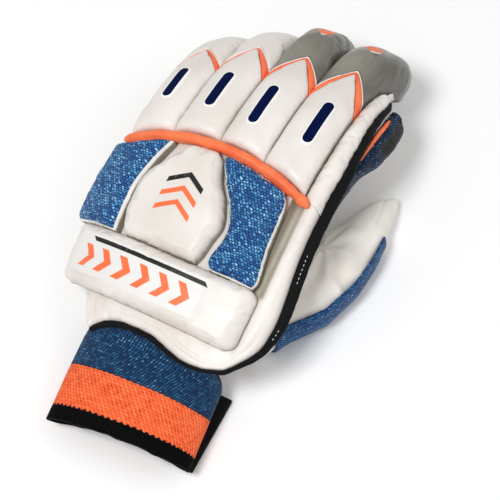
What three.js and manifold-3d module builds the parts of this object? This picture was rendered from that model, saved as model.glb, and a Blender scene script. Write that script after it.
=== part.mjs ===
// Left-hand cricket batting glove, lying palm down: knitted cuff toward -Y, fingers toward +Y,
// thumb toward +X. The palm and the stalls are hollow leather; foam pads are sewn on the back.
// Millimetres, +Z up.
import * as THREE from 'three';
import { mergeVertices } from 'three/addons/utils/BufferGeometryUtils.js';
import Module from 'manifold-3d';

const wasm = await Module();
wasm.setup();
const degree = Math.PI / 180;

// The back is laid out as a flat pattern: u across from the middle toward the thumb side,
// v along from the wrist toward the finger tips, h out of the back.
const backLength = 111; // wrist edge to the knuckle bar, along the back
const wristRise = 32.8; // height of the back at the wrist edge
const wristPlace = -110; // y of the wrist edge
const fingerWidth = 25.6;
const littleEdge = -1.844 * fingerWidth; // u of the little finger's outer side
const archRadiusWrist = 46; // round of the back on the little-finger side
const archRadiusKnuckle = 124;
const archRadiusThumb = 208; // flatter round on the thumb side
const archRoll = -12.4; // degrees that the back leans toward the little finger
const fingerLean = 0.035; // sideways drift of the fingers for each mm past the knuckles

const seamGap = 0.35; // clearance between sewn neighbours
const leatherWall = 2;
const panelThickness = 4;
const padHeight = 13; // crest of the foam over the inner back
const valleyHeight = 7; // foam between two finger rolls
const mainPadHeight = 12.6;
const barWidth = 5.2;
const barHeight = 11.5;
const barSag = 0.0036; // how fast the knuckle bar falls back toward both sides
const trimWidth = 4.6;
const trimHeight = 12.6;
const ventLength = 21.5;
const ventWidth = 5.2;
const ventStart = 1.153 * backLength;
const ventThickness = 0.7;
const dotWidth = 8.5;
const dotLength = 7;
const dotBack = 1.4; // dot's place behind the stall end, shares of fingerWidth
const flangeInner = 2.266 * fingerWidth; // u where the padded margin starts beside the pads
const flangeHeight = 6;
const flangeEnd = 1.685 * backLength; // v where the margin runs out beside the index tip
const bindingRadius = 1.9;
const stripeRadius = 1.1;

const palmStart = 0.108 * backLength; // v of the seam between palm and cuff
const palmEnd = backLength + 0.6; // v where the finger stalls start
const heelLength = 0.414 * backLength; // v up to which the heel lies flat
const stallDepth = 24; // thickness of a finger stall under the pads
const gussetLength = 0.69 * backLength; // mesh side of the index finger, from the stall's mouth
const gussetThickness = 2.4;
const gussetTop = 0.9; // how far the gusset stays under the margin

const cuffWidth = 77;
const cuffHeight = 22;
const cuffLength = 51.5; // seam to hem along the top
const hemRake = 8; // the hem's underside is this much shorter than its top
const hemTurn = 0.1; // slant of the hem across the cuff
const cuffDrift = 5; // sideways run of the cuff toward the thumb side
const navyBand = 24; // lengths along the top
const orangeBand = 20.5;
const knitWall = 2.2;
const cuffSwell = 0.5; // extra height of the cuff at the seam, share of cuffHeight
const cuffBlend = 0.22; // share of the cuff over which it takes its oval
const cuffPlace = 0.664 * fingerWidth; // x of the cuff's middle at the seam
const strapThickness = 2.6;
const strapWidth = 44;
const strapReach = 2.33 * fingerWidth; // x of the loose end at the thumb side
const strapLength = 68;

const thumbLength = 118;
const thumbBase = { x: 1.8 * fingerWidth, y: wristPlace + 0.38 * backLength };
const thumbHeading = 69.7; // degrees from +X
const thumbWidth = 38;
const thumbHeight = 31;
const thumbMeshThickness = 1.2;

// Pitch of the back in degrees, `along` in shares of backLength.
const pitchRows = [
  { along: 0, pitch: 20.4 },
  { along: 0.63, pitch: 15.7 },
  { along: 1.08, pitch: 5.9 },
  { along: 1.44, pitch: -19.8 },
  { along: 1.8, pitch: -47.5 },
  { along: 2.1, pitch: -66 },
];

// Outline of the back panel: `left` and `right` edges in shares of fingerWidth.
const sideRows = [
  { along: 0, left: -0.61, right: 1.73 },
  { along: 0.1, left: -1.0, right: 2.15 },
  { along: 0.165, left: -1.3, right: 2.36 },
  { along: 0.24, left: -1.63, right: 2.53 },
  { along: 0.34, left: -1.8, right: 2.58 },
  { along: 0.5, left: -1.93, right: 2.58 },
  { along: 1.08, left: -1.94, right: 2.58 },
];

// Lower edge of the apron over the cuff: `across` from the little side to the thumb side.
const apronRows = [
  { across: 0, seam: 0.02 },
  { across: 0.1, seam: 0.055 },
  { across: 0.25, seam: 0.096 },
  { across: 0.37, seam: 0.107 },
  { across: 0.51, seam: 0.105 },
  { across: 0.64, seam: 0.081 },
  { across: 0.78, seam: 0.062 },
  { across: 0.92, seam: 0.068 },
  { across: 1, seam: 0.101 },
];

// Height of the palm's underside, as a share of the back's height there, and its side slope.
const palmRows = [
  { along: 0, lift: 0, slope: 0 },
  { along: 1, lift: 0, slope: 0 },
  { along: 1.5, lift: 0.18, slope: 0.03 },
  { along: 2, lift: 0.43, slope: 0.08 },
  { along: 2.5, lift: 0.56, slope: 0.12 },
];

// Finger rows, little finger first. `tip` is the end of the stall, `chevron` the point of the
// roll and `dome` the extra foam at the tip, in shares of fingerWidth past the knuckle bar.
const fingerRows = [
  { name: 'little', chevron: 2.38, valley: 1.72, tip: 4.25, dome: 0.03, tipColor: 0xf0ebe7 },
  { name: 'ring', chevron: 2.52, valley: 1.72, tip: 4.8, dome: 0.12, tipColor: 0xf0ebe7 },
  { name: 'middle', chevron: 2.52, valley: 1.72, tip: 4.96, dome: 0.36, tipColor: 0x9c9990 },
  { name: 'index', chevron: 2.6, valley: 1.64, tip: 4.97, dome: 0.33, tipColor: 0x9c9990 },
];

// Main pads: edges `left` and `right` as shares of fingerWidth, `along` from the pad's lower
// edge (0) to its upper edge (1).
const outerPadRows = [
  { along: 0, left: -2.13, right: -0.95 },
  { along: 0.25, left: -2.13, right: -0.985 },
  { along: 0.5, left: -2.08, right: -0.985 },
  { along: 0.75, left: -2.0, right: -0.88 },
  { along: 1, left: -1.93, right: -0.7 },
];
const centrePadRows = [
  { along: 0, left: -0.67, right: 0.86 },
  { along: 0.08, left: -0.78, right: 0.92 },
  { along: 0.25, left: -0.92, right: 0.97 },
  { along: 0.43, left: -0.955, right: 1.02 },
  { along: 0.64, left: -0.87, right: 0.82 },
  { along: 0.78, left: -0.66, right: 0.6 },
  { along: 0.95, left: -0.36, right: 0.42 },
  { along: 1, left: -0.25, right: 0.28 },
];
const innerPadRows = [
  { along: 0, left: 1.2, right: 2.1 },
  { along: 0.08, left: 1.1, right: 2.12 },
  { along: 0.33, left: 1.16, right: 2.05 },
  { along: 0.45, left: 1.12, right: 2.0 },
  { along: 0.6, left: 0.97, right: 1.97 },
  { along: 0.75, left: 0.74, right: 1.92 },
  { along: 0.92, left: 0.52, right: 1.83 },
  { along: 1, left: 0.46, right: 1.66 },
];
const wristBarBottom = 0.182 * backLength;
const wristBarTop = 0.463 * backLength;
const wristBarLeft = -1.855 * fingerWidth;
const wristBarRight = 2.246 * fingerWidth;
const wristBarCorner = 9;
const padBottom = wristBarTop + 0.8; // v of the lower edges of the three main pads

// Thumb stall in shares of thumbLength along, `side` in shares of thumbWidth toward +X.
const thumbRows = [
  { along: 0, side: 0, width: 1.0, height: 1.0 },
  { along: 0.15, side: 0.05, width: 1.0, height: 1.0 },
  { along: 0.33, side: 0.23, width: 0.95, height: 0.96 },
  { along: 0.53, side: 0.23, width: 0.87, height: 0.88 },
  { along: 0.67, side: 0.18, width: 0.78, height: 0.8 },
  { along: 0.79, side: 0.13, width: 0.61, height: 0.7 },
  { along: 0.88, side: 0.08, width: 0.44, height: 0.58 },
  { along: 0.94, side: 0.05, width: 0.29, height: 0.45 },
  { along: 1, side: 0.02, width: 0.12, height: 0.28 },
];

function tableAt(rows, column, along) {
  if (along <= rows[0].along) return rows[0][column];
  for (let i = 1; i < rows.length; i += 1) {
    const before = rows[i - 1];
    const after = rows[i];
    if (along <= after.along) {
      const share = (along - before.along) / (after.along - before.along);
      return before[column] + share * (after[column] - before[column]);
    }
  }
  return rows[rows.length - 1][column];
}

// Side view of the back, walked in 1 mm steps from v = -20.
const spineStart = -20;
const spine = [];
{
  let y = wristPlace + spineStart * Math.cos(pitchRows[0].pitch * degree);
  let z = wristRise + spineStart * Math.sin(pitchRows[0].pitch * degree);
  for (let v = spineStart; v <= 2.6 * backLength; v += 1) {
    const pitch = tableAt(pitchRows, 'pitch', v / backLength) * degree;
    spine.push({ y, z, pitch });
    const next = tableAt(pitchRows, 'pitch', (v + 1) / backLength) * degree;
    y += Math.cos((pitch + next) / 2);
    z += Math.sin((pitch + next) / 2);
  }
}

function spineAt(v) {
  const step = Math.min(Math.max(v - spineStart, 0), spine.length - 1.001);
  const low = spine[Math.floor(step)];
  const high = spine[Math.floor(step) + 1];
  const share = step - Math.floor(step);
  return {
    y: low.y + share * (high.y - low.y),
    z: low.z + share * (high.z - low.z),
    pitch: low.pitch + share * (high.pitch - low.pitch),
  };
}

// Point of the arch across the back: x and rise in the plane that crosses the spine at v.
function archAt(u, v, h) {
  const reach = Math.min(Math.max(v / (1.08 * backLength), 0), 1);
  const littleRadius = archRadiusWrist + reach * (archRadiusKnuckle - archRadiusWrist);
  const radius = u < 0 ? littleRadius : archRadiusThumb;
  const roll = archRoll * degree;
  const angle = u / radius + roll;
  const past = v - 0.95 * backLength;
  const drift = fingerLean * past * Math.min(Math.max(past / 20, 0), 1);
  return {
    x: radius * (Math.sin(angle) - Math.sin(roll)) + h * Math.sin(angle) + drift,
    rise: radius * (Math.cos(angle) - Math.cos(roll)) + h * Math.cos(angle),
  };
}

function inPlane(x, rise, v) {
  const { y, z, pitch } = spineAt(v);
  return new THREE.Vector3(x, y - rise * Math.sin(pitch), z + rise * Math.cos(pitch));
}

function place(u, v, h) {
  const { x, rise } = archAt(u, v, h);
  return inPlane(x, rise, v);
}

const seamRows = apronRows.map(({ across, seam }) => ({ along: across, seam }));
const seamAt = (s) => tableAt(seamRows, 'seam', s);
const barAt = (u) => backLength - barSag * (u - 4) ** 2;
const leftEdge = (v) => fingerWidth * tableAt(sideRows, 'left', v / backLength);
const rightEdge = (v) => fingerWidth * tableAt(sideRows, 'right', v / backLength);

// Closed geometry from points and triangles, faces turned outward.
function closed(points, triangles) {
  let volume = 0;
  for (const [a, b, c] of triangles) {
    volume += points[a].dot(new THREE.Vector3().crossVectors(points[b], points[c]));
  }
  const faces = volume < 0 ? triangles.map(([a, b, c]) => [a, c, b]) : triangles;
  const geometry = new THREE.BufferGeometry();
  geometry.setAttribute('position', new THREE.Float32BufferAttribute(
    points.flatMap((p) => [p.x, p.y, p.z]), 3));
  geometry.setIndex(faces.flat());
  geometry.computeVertexNormals();
  return geometry;
}

function addQuad(triangles, a, b, c, d) {
  triangles.push([a, b, c], [a, c, d]);
}

// Shares from 0 to 1 that crowd toward both ends, where a pad's edge is round.
function spread(count) {
  return Array.from({ length: count + 1 }, (_, i) => (1 - Math.cos((Math.PI * i) / count)) / 2);
}

// Block between an underside and an upper side over a grid of pattern points.
function cushion({ columns, rows, at, base, top, even = false }) {
  const across = even ? Array.from({ length: columns + 1 }, (_, i) => i / columns) : spread(columns);
  const along = even ? Array.from({ length: rows + 1 }, (_, i) => i / rows) : spread(rows);
  const points = [];
  for (const side of [base, top]) {
    for (const t of along) {
      for (const s of across) {
        const [u, v] = at(s, t);
        points.push(place(u, v, side(s, t, u, v)));
      }
    }
  }
  const width = columns + 1;
  const layer = width * (rows + 1);
  const triangles = [];
  for (let j = 0; j < rows; j += 1) {
    for (let i = 0; i < columns; i += 1) {
      const a = j * width + i;
      addQuad(triangles, layer + a, layer + a + 1, layer + a + width + 1, layer + a + width);
      addQuad(triangles, a, a + width, a + width + 1, a + 1);
    }
  }
  const border = [];
  for (let i = 0; i < columns; i += 1) border.push(i);
  for (let j = 0; j < rows; j += 1) border.push(j * width + columns);
  for (let i = columns; i > 0; i -= 1) border.push(rows * width + i);
  for (let j = rows; j > 0; j -= 1) border.push(j * width);
  border.forEach((a, i) => {
    const b = border[(i + 1) % border.length];
    addQuad(triangles, a, b, layer + b, layer + a);
  });
  return closed(points, triangles);
}

// Wall between outer and inner rings. A wrapped ring closes on itself; a capped end is shut.
function shell(outer, inner, { wrap = true, capEnd = false } = {}) {
  const count = outer[0].length;
  const points = [...outer.flat(), ...inner.flat()];
  const outerAt = (r, i) => r * count + (i % count);
  const innerAt = (r, i) => outer.length * count + outerAt(r, i);
  const last = outer.length - 1;
  const edges = wrap ? count : count - 1;
  const triangles = [];
  for (let r = 0; r < last; r += 1) {
    for (let i = 0; i < edges; i += 1) {
      addQuad(triangles, outerAt(r, i), outerAt(r, i + 1), outerAt(r + 1, i + 1), outerAt(r + 1, i));
      addQuad(triangles, innerAt(r, i), innerAt(r + 1, i), innerAt(r + 1, i + 1), innerAt(r, i + 1));
    }
    if (!wrap) {
      const end = count - 1;
      addQuad(triangles, outerAt(r, 0), outerAt(r + 1, 0), innerAt(r + 1, 0), innerAt(r, 0));
      addQuad(triangles, outerAt(r, end), innerAt(r, end), innerAt(r + 1, end), outerAt(r + 1, end));
    }
  }
  for (let i = 0; i < edges; i += 1) {
    addQuad(triangles, outerAt(0, i), innerAt(0, i), innerAt(0, i + 1), outerAt(0, i + 1));
    if (!capEnd) {
      addQuad(triangles, outerAt(last, i), outerAt(last, i + 1), innerAt(last, i + 1), innerAt(last, i));
    }
  }
  if (capEnd) {
    for (const [ring, at, turn] of [[outer[last], outerAt, false], [inner[last], innerAt, true]]) {
      const middle = ring.reduce((sum, p) => sum.add(p), new THREE.Vector3()).divideScalar(count);
      points.push(middle);
      const tip = points.length - 1;
      for (let i = 0; i < count; i += 1) {
        triangles.push(turn ? [at(last, i + 1), at(last, i), tip] : [at(last, i), at(last, i + 1), tip]);
      }
    }
  }
  return closed(points, triangles);
}

// Solid filled inside its rings, both ends capped.
function filled(rings) {
  const count = rings[0].length;
  const points = rings.flat();
  const triangles = [];
  for (let r = 0; r < rings.length - 1; r += 1) {
    for (let i = 0; i < count; i += 1) {
      const j = (i + 1) % count;
      const a = r * count;
      addQuad(triangles, a + i, a + j, a + count + j, a + count + i);
    }
  }
  [[rings[0], 0, true], [rings.at(-1), (rings.length - 1) * count, false]].forEach(([ring, a, turn]) => {
    const middle = ring.reduce((sum, p) => sum.add(p), new THREE.Vector3()).divideScalar(count);
    points.push(middle);
    const tip = points.length - 1;
    for (let i = 0; i < count; i += 1) {
      const j = (i + 1) % count;
      triangles.push(turn ? [a + j, a + i, tip] : [a + i, a + j, tip]);
    }
  });
  return closed(points, triangles);
}

function toSolid(geometry) {
  const bare = geometry.clone();
  bare.deleteAttribute('normal');
  bare.deleteAttribute('uv');
  const merged = mergeVertices(bare, 1e-4);
  return new wasm.Manifold(new wasm.Mesh({
    numProp: 3,
    vertProperties: new Float32Array(merged.attributes.position.array),
    triVerts: new Uint32Array(merged.index.array),
  }));
}

function fromSolid(result) {
  const mesh = result.getMesh();
  const geometry = new THREE.BufferGeometry();
  geometry.setAttribute('position', new THREE.BufferAttribute(new Float32Array(mesh.vertProperties), 3));
  geometry.setIndex(new THREE.BufferAttribute(new Uint32Array(mesh.triVerts), 1));
  geometry.computeVertexNormals();
  return geometry;
}

const group = new THREE.Group();
function add(name, geometry, color, roughness = 0.7) {
  const mesh = new THREE.Mesh(geometry, new THREE.MeshStandardMaterial({ color, roughness, metalness: 0 }));
  mesh.name = name;
  group.add(mesh);
  return mesh;
}
const white = 0xf0ebe7;
const orange = 0xf2683a;
const navy = 0x17355a;
const meshBlue = 0x3170ab;
const black = 0x121212;

const rested = (point, floor) => point.setZ(Math.max(point.z, floor));

// Loop around the hand at v, pulled in by `inset`: over the back from the thumb side to the
// little side, down the little side, along the palm and up the thumb side.
const loopTop = 9;
const loopSide = 5;
const loopBottom = 5;
const palmCorner = 18;
function handLoop(v, inset) {
  const left = leftEdge(v) + 1.5;
  const right = rightEdge(v) - 4;
  const { z, pitch } = spineAt(v);
  const lift = tableAt(palmRows, 'lift', v / heelLength);
  const slope = tableAt(palmRows, 'slope', v / heelLength);
  const depth = (z * (1 - lift)) / Math.cos(pitch);
  const points = [];
  for (let i = 0; i < loopTop; i += 1) {
    const u = right + ((left - right) * i) / (loopTop - 1);
    points.push(archAt(u, v, -inset));
  }
  const start = archAt(left, v, 0);
  const end = archAt(right, v, 0);
  const middle = (start.x + end.x) / 2;
  const floorAt = (x) => -depth + slope * (x - middle) + inset;
  const corner = (from, sign, angle) => {
    const x = from.x + sign * (palmCorner * (1 - Math.cos(angle)) + inset);
    const low = floorAt(from.x + sign * palmCorner);
    return { x, rise: from.rise + (low - from.rise) * Math.sin(angle) };
  };
  for (let i = 1; i <= loopSide; i += 1) {
    points.push(corner(start, 1, ((Math.PI / 2) * i) / loopSide));
  }
  for (let i = 1; i < loopBottom; i += 1) {
    const span = end.x - start.x - 2 * palmCorner;
    const x = start.x + palmCorner + (span * i) / loopBottom;
    points.push({ x, rise: floorAt(x) });
  }
  for (let i = loopSide; i >= 1; i -= 1) {
    points.push(corner(end, -1, ((Math.PI / 2) * i) / loopSide));
  }
  const floor = inset > 0 ? leatherWall : 0;
  return points.map(({ x, rise }) => rested(inPlane(x, rise, v), floor));
}

// Thumb stall: rings on a bent axis, flattened where they lie.
const thumbSides = 16;
const thumbSteps = Array.from({ length: thumbSides }, (_, i) => i);
function thumbRing(along, inset, steps = thumbSteps) {
  const heading = thumbHeading * degree;
  const forward = new THREE.Vector3(Math.cos(heading), Math.sin(heading), 0);
  const aside = new THREE.Vector3(Math.sin(heading), -Math.cos(heading), 0);
  const half = (thumbWidth * tableAt(thumbRows, 'width', along)) / 2 - inset;
  const tall = thumbHeight * tableAt(thumbRows, 'height', along);
  const middle = new THREE.Vector3(thumbBase.x, thumbBase.y, tall * 0.47)
    .addScaledVector(forward, along * thumbLength)
    .addScaledVector(aside, thumbWidth * tableAt(thumbRows, 'side', along));
  return steps.map((step) => {
    const angle = (2 * Math.PI * step) / thumbSides;
    const cos = Math.cos(angle);
    const sin = Math.sin(angle);
    const wide = half * Math.sign(cos) * Math.abs(cos) ** 0.85;
    const high = (tall * 0.53 - inset) * Math.sign(sin) * Math.abs(sin) ** 0.85;
    const point = middle.clone().addScaledVector(aside, wide);
    point.z += high;
    return rested(point, Math.max(inset, 0));
  });
}
const thumbStations = [0, 0.07, 0.15, 0.24, 0.33, 0.43, 0.53, 0.67, 0.79, 0.88, 0.94, 0.975, 1];
const thumbInner = thumbStations.map((t) => thumbRing(Math.min(t, 1 - leatherWall / thumbLength) * 0.985, leatherWall));
const thumbOuter = thumbStations.map((t) => thumbRing(t, 0));

// Palm: an open trough under the back panel, holed where the thumb stall joins.
const palmStations = [];
for (let i = 0; i <= 10; i += 1) palmStations.push(palmStart + ((palmEnd - palmStart) * i) / 10);
const troughOf = (v, inset) => {
  const loop = handLoop(v, inset);
  const open = loop.slice(loopTop - 1);
  open.push(loop[0]);
  return open;
};
const thumbRoom = toSolid(filled(thumbStations.map((t) => thumbRing(t, -seamGap))));
const palmShell = shell(
  palmStations.map((v) => troughOf(v, 0)),
  palmStations.map((v) => troughOf(v, leatherWall)),
  { wrap: false },
);
add('palm', fromSolid(toSolid(palmShell).subtract(thumbRoom)), white, 0.6);
const palmRoom = toSolid(filled(palmStations.map((v) => handLoop(v, leatherWall))));
const thumbShell = toSolid(shell(thumbOuter, thumbInner, { capEnd: true }));
add('thumb_stall', fromSolid(thumbShell.subtract(palmRoom)), 0xe4e0d9, 0.6);

// Skin strip along the thumb's outer side.
const skinStations = thumbStations.slice(1).filter((t) => t < 0.87);
const thumbSkin = (inset) => skinStations.map((t) => thumbRing(t, -inset, [-2, -1, 0, 1, 1.5]));
const skinShell = toSolid(shell(
  thumbSkin(seamGap + thumbMeshThickness),
  thumbSkin(seamGap),
  { wrap: false },
));
const palmOutside = toSolid(filled(palmStations.map((v) => handLoop(v, -seamGap))));
add('thumb_side_mesh', fromSolid(skinShell.subtract(palmOutside)), meshBlue, 0.8);

// Finger stalls: closed leather tubes, each a rounded box in the pattern's (u, h) section.
const stallSides = 14;
const stallNose = 13; // length over which a finger tip rounds off
const fingers = fingerRows.map((row, k) => ({
  ...row,
  left: littleEdge + k * fingerWidth,
  right: littleEdge + (k + 1) * fingerWidth,
  middle: littleEdge + (k + 0.5) * fingerWidth,
  end: backLength + row.tip * fingerWidth,
  peak: backLength + row.chevron * fingerWidth,
  dip: backLength + row.valley * fingerWidth,
  isIndex: row.name === 'index',
}));

// Sideways swell of the index stall toward the thumb, in shares of fingerWidth.
const indexRows = [
  { along: 1, swell: 0.5 },
  { along: 1.2, swell: 0.55 },
  { along: 1.42, swell: 0.66 },
  { along: 1.56, swell: 0.64 },
  { along: 1.68, swell: 0.58 },
  { along: 1.76, swell: 0.3 },
  { along: 1.86, swell: 0.1 },
  { along: 2, swell: 0 },
];

// Spread of the index tip pad over the end of the margin, in shares of fingerWidth.
const indexTipRows = [
  { along: 1.42, widen: 0 },
  { along: 1.55, widen: 0.1 },
  { along: 1.67, widen: 0.3 },
  { along: 1.8, widen: 0.34 },
  { along: 1.96, widen: 0.24 },
  { along: 2.1, widen: 0.1 },
];

function noseShare(finger, v, nose) {
  const past = Math.min(Math.max((v - finger.end + nose) / nose, 0), 1);
  return Math.sqrt(1 - 0.93 * past ** 2.2);
}

function stallRing(finger, v, inset, from = 0, to = stallSides) {
  const swell = finger.isIndex ? fingerWidth * tableAt(indexRows, 'swell', v / backLength) : 0;
  const left = finger.left + seamGap / 2;
  const right = finger.right - seamGap / 2 + swell;
  const share = noseShare(finger, v, stallNose);
  const half = ((right - left) / 2) * (0.25 + 0.75 * share) - inset;
  const tall = (stallDepth / 2) * share - inset;
  const ring = [];
  for (let i = from; i < to; i += 1) {
    const angle = (2 * Math.PI * i) / stallSides;
    const cos = Math.cos(angle);
    const sin = Math.sin(angle);
    const u = (left + right) / 2 + half * Math.sign(cos) * Math.abs(cos) ** 0.6;
    const rise = -stallDepth / 2 + tall * Math.sign(sin) * Math.abs(sin) ** 0.6;
    const h = inset < 0 ? Math.min(rise, -gussetTop) : rise;
    ring.push(rested(place(u, v, h), Math.max(inset, 0)));
  }
  return ring;
}

// Ring places along a stall, closer together toward the tip.
function stallStations(finger) {
  const start = palmEnd + seamGap;
  return spread(20).slice(10).map((t) => start + (finger.end - start) * (2 * t - 1));
}
fingers.forEach((finger) => {
  const stations = stallStations(finger);
  const outer = stations.map((v) => stallRing(finger, v, 0));
  const inner = stations.map((v, i) => {
    const back = i === stations.length - 1 ? leatherWall : 0;
    return stallRing(finger, v - back, leatherWall);
  });
  add(`${finger.name}_stall`, shell(outer, inner, { capEnd: true }), white, 0.6);
});

// Mesh side of the index finger and its piping.
const index = fingers[3];
const gussetPlaces = stallStations(index).filter((v) => v < palmEnd + gussetLength);
const gussetSkin = (inset) => gussetPlaces.map((v) => stallRing(index, v, -inset, -2, 3));
add('index_side_gusset', shell(
  gussetSkin(seamGap + gussetThickness),
  gussetSkin(seamGap),
  { wrap: false },
), 0x14263f, 0.85);

// Round or flat-sided rod along a path.
function rod(path, radius, steps, sides = 6) {
  const outline = new THREE.Shape();
  for (let i = 0; i < sides; i += 1) {
    const angle = (2 * Math.PI * (i + 0.5)) / sides;
    const x = radius * Math.cos(angle);
    const y = radius * Math.sin(angle);
    if (i === 0) outline.moveTo(x, y);
    else outline.lineTo(x, y);
  }
  outline.closePath();
  const curve = new THREE.CatmullRomCurve3(path);
  return new THREE.ExtrudeGeometry(outline, { steps, bevelEnabled: false, extrudePath: curve });
}
const pipingLift = gussetThickness + 3 * seamGap + stripeRadius;
const piping = gussetPlaces.slice(1).map((v) => {
  const [low, high] = stallRing(index, v, -pipingLift, 1, 3);
  return low.lerp(high, 0.5);
});
piping[0].lerp(piping[1], 0.5);
add('index_side_stripe', rod(piping, stripeRadius, 14), orange, 0.5);

// Back panel with the apron and the padded margin.
const marginRise = (u) => {
  const share = Math.min(Math.max((u - flangeInner) / 3, 0), 1);
  return panelThickness + (flangeHeight - panelThickness) * share;
};
const edgeDrop = (s, t) => 1 - 0.3 * Math.max(Math.abs(2 * s - 1), Math.abs(2 * t - 1)) ** 12;
const barGap = barWidth / 2 + seamGap;
add('back_panel', cushion({
  columns: 14,
  rows: 9,
  even: true,
  at: (s, t) => {
    const low = backLength * seamAt(s);
    const topLeft = leftEdge(backLength);
    const high = barAt(topLeft + s * (rightEdge(backLength) - topLeft)) + barGap;
    const v = low + t * (high - low);
    return [leftEdge(v) + s * (rightEdge(v) - leftEdge(v)), v];
  },
  base: () => seamGap,
  top: (s, t, u) => marginRise(u) * edgeDrop(s, t),
}), white, 0.6);

const marginRows = [
  { along: 1, inner: 0, outer: 0 },
  { along: 1.5, inner: 0, outer: 0 },
  { along: 1.62, inner: 0.06, outer: 0 },
  { along: 1.69, inner: 0.22, outer: -0.05 },
];
const marginInner = (v) => flangeInner + fingerWidth * tableAt(marginRows, 'inner', v / backLength);
const marginOuter = (v) => rightEdge(v) + fingerWidth * tableAt(marginRows, 'outer', v / backLength);
add('index_margin', cushion({
  columns: 4,
  rows: 12,
  at: (s, t) => {
    const low = barAt(flangeInner + s * (rightEdge(backLength) - flangeInner)) + barGap + seamGap;
    const v = low + t * (flangeEnd - low);
    return [marginInner(v) + s * (marginOuter(v) - marginInner(v)), v];
  },
  base: () => seamGap,
  top: (s, t) => flangeHeight * (0.72 + 0.28 * Math.sin(Math.PI * s)) * (1 - 0.4 * t ** 8),
}), white, 0.6);

// Edge tape, round the apron and up the thumb side to the index tip.
const bindingOff = bindingRadius + seamGap;
const edgeLine = [];
for (let i = 0; i <= 12; i += 1) {
  const s = i / 12;
  const v = backLength * seamAt(s);
  edgeLine.push(new THREE.Vector2(leftEdge(v) + s * (rightEdge(v) - leftEdge(v)), v));
}
for (let v = edgeLine.at(-1).y + 6; v < flangeEnd; v += 8) {
  edgeLine.push(new THREE.Vector2(marginOuter(v), v));
}
const bindingPath = edgeLine.map((point, i) => {
  const before = edgeLine[Math.max(i - 1, 0)];
  const after = edgeLine[Math.min(i + 1, edgeLine.length - 1)];
  const along = after.clone().sub(before).normalize();
  return place(point.x + along.y * bindingOff, point.y - along.x * bindingOff, bindingRadius + seamGap);
});
add('back_binding', rod(bindingPath, bindingRadius, 42), black, 0.6);

// Foam pads of the back.
const padBase = panelThickness + 2 * seamGap;
const crown = (s, t) => (1 - (2 * s - 1) ** 6) * (1 - (2 * t - 1) ** 6);
const padTop = (height) => (s, t) => padBase + (height - padBase) * (0.74 + 0.26 * crown(s, t));
function mainPad(rows, columns) {
  return cushion({
    columns,
    rows: 8,
    at: (s, t) => {
      const left = fingerWidth * tableAt(rows, 'left', t);
      const right = fingerWidth * tableAt(rows, 'right', t);
      const u = left + s * (right - left);
      const high = barAt(u) - barGap - seamGap;
      return [u, padBottom + t * (high - padBottom)];
    },
    base: () => padBase,
    top: padTop(mainPadHeight),
  });
}
add('outer_mesh_pad', mainPad(outerPadRows, 8), meshBlue, 0.8);
add('centre_pad', mainPad(centrePadRows, 10), white, 0.6);
add('inner_mesh_pad', mainPad(innerPadRows, 8), meshBlue, 0.8);

add('wrist_bar_pad', cushion({
  columns: 14,
  rows: 6,
  at: (s, t) => {
    const v = wristBarBottom + t * (wristBarTop - wristBarBottom);
    const nearest = Math.min(v - wristBarBottom, wristBarTop - v, wristBarCorner);
    const inset = wristBarCorner - Math.sqrt(wristBarCorner ** 2 - (wristBarCorner - nearest) ** 2);
    const left = wristBarLeft + inset;
    const right = wristBarRight - inset;
    return [left + s * (right - left), v];
  },
  base: () => padBase,
  top: padTop(padHeight),
}), white, 0.6);

add('knuckle_roll', cushion({
  columns: 18,
  rows: 4,
  even: true,
  at: (s, t) => {
    const u = leftEdge(backLength) + 1.4 + s * (flangeInner + 1 - leftEdge(backLength) - 1.4);
    return [u, barAt(u) + (t - 0.5) * barWidth];
  },
  base: (s, t, u) => marginRise(u) + seamGap,
  top: (s, t) => {
    const round = Math.sqrt(Math.max(1 - 0.9 * (2 * t - 1) ** 2, 0));
    return padBase + (barHeight - padBase) * (0.3 + 0.7 * round) * (1 - 0.25 * (2 * s - 1) ** 10);
  },
}), orange, 0.35);

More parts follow.
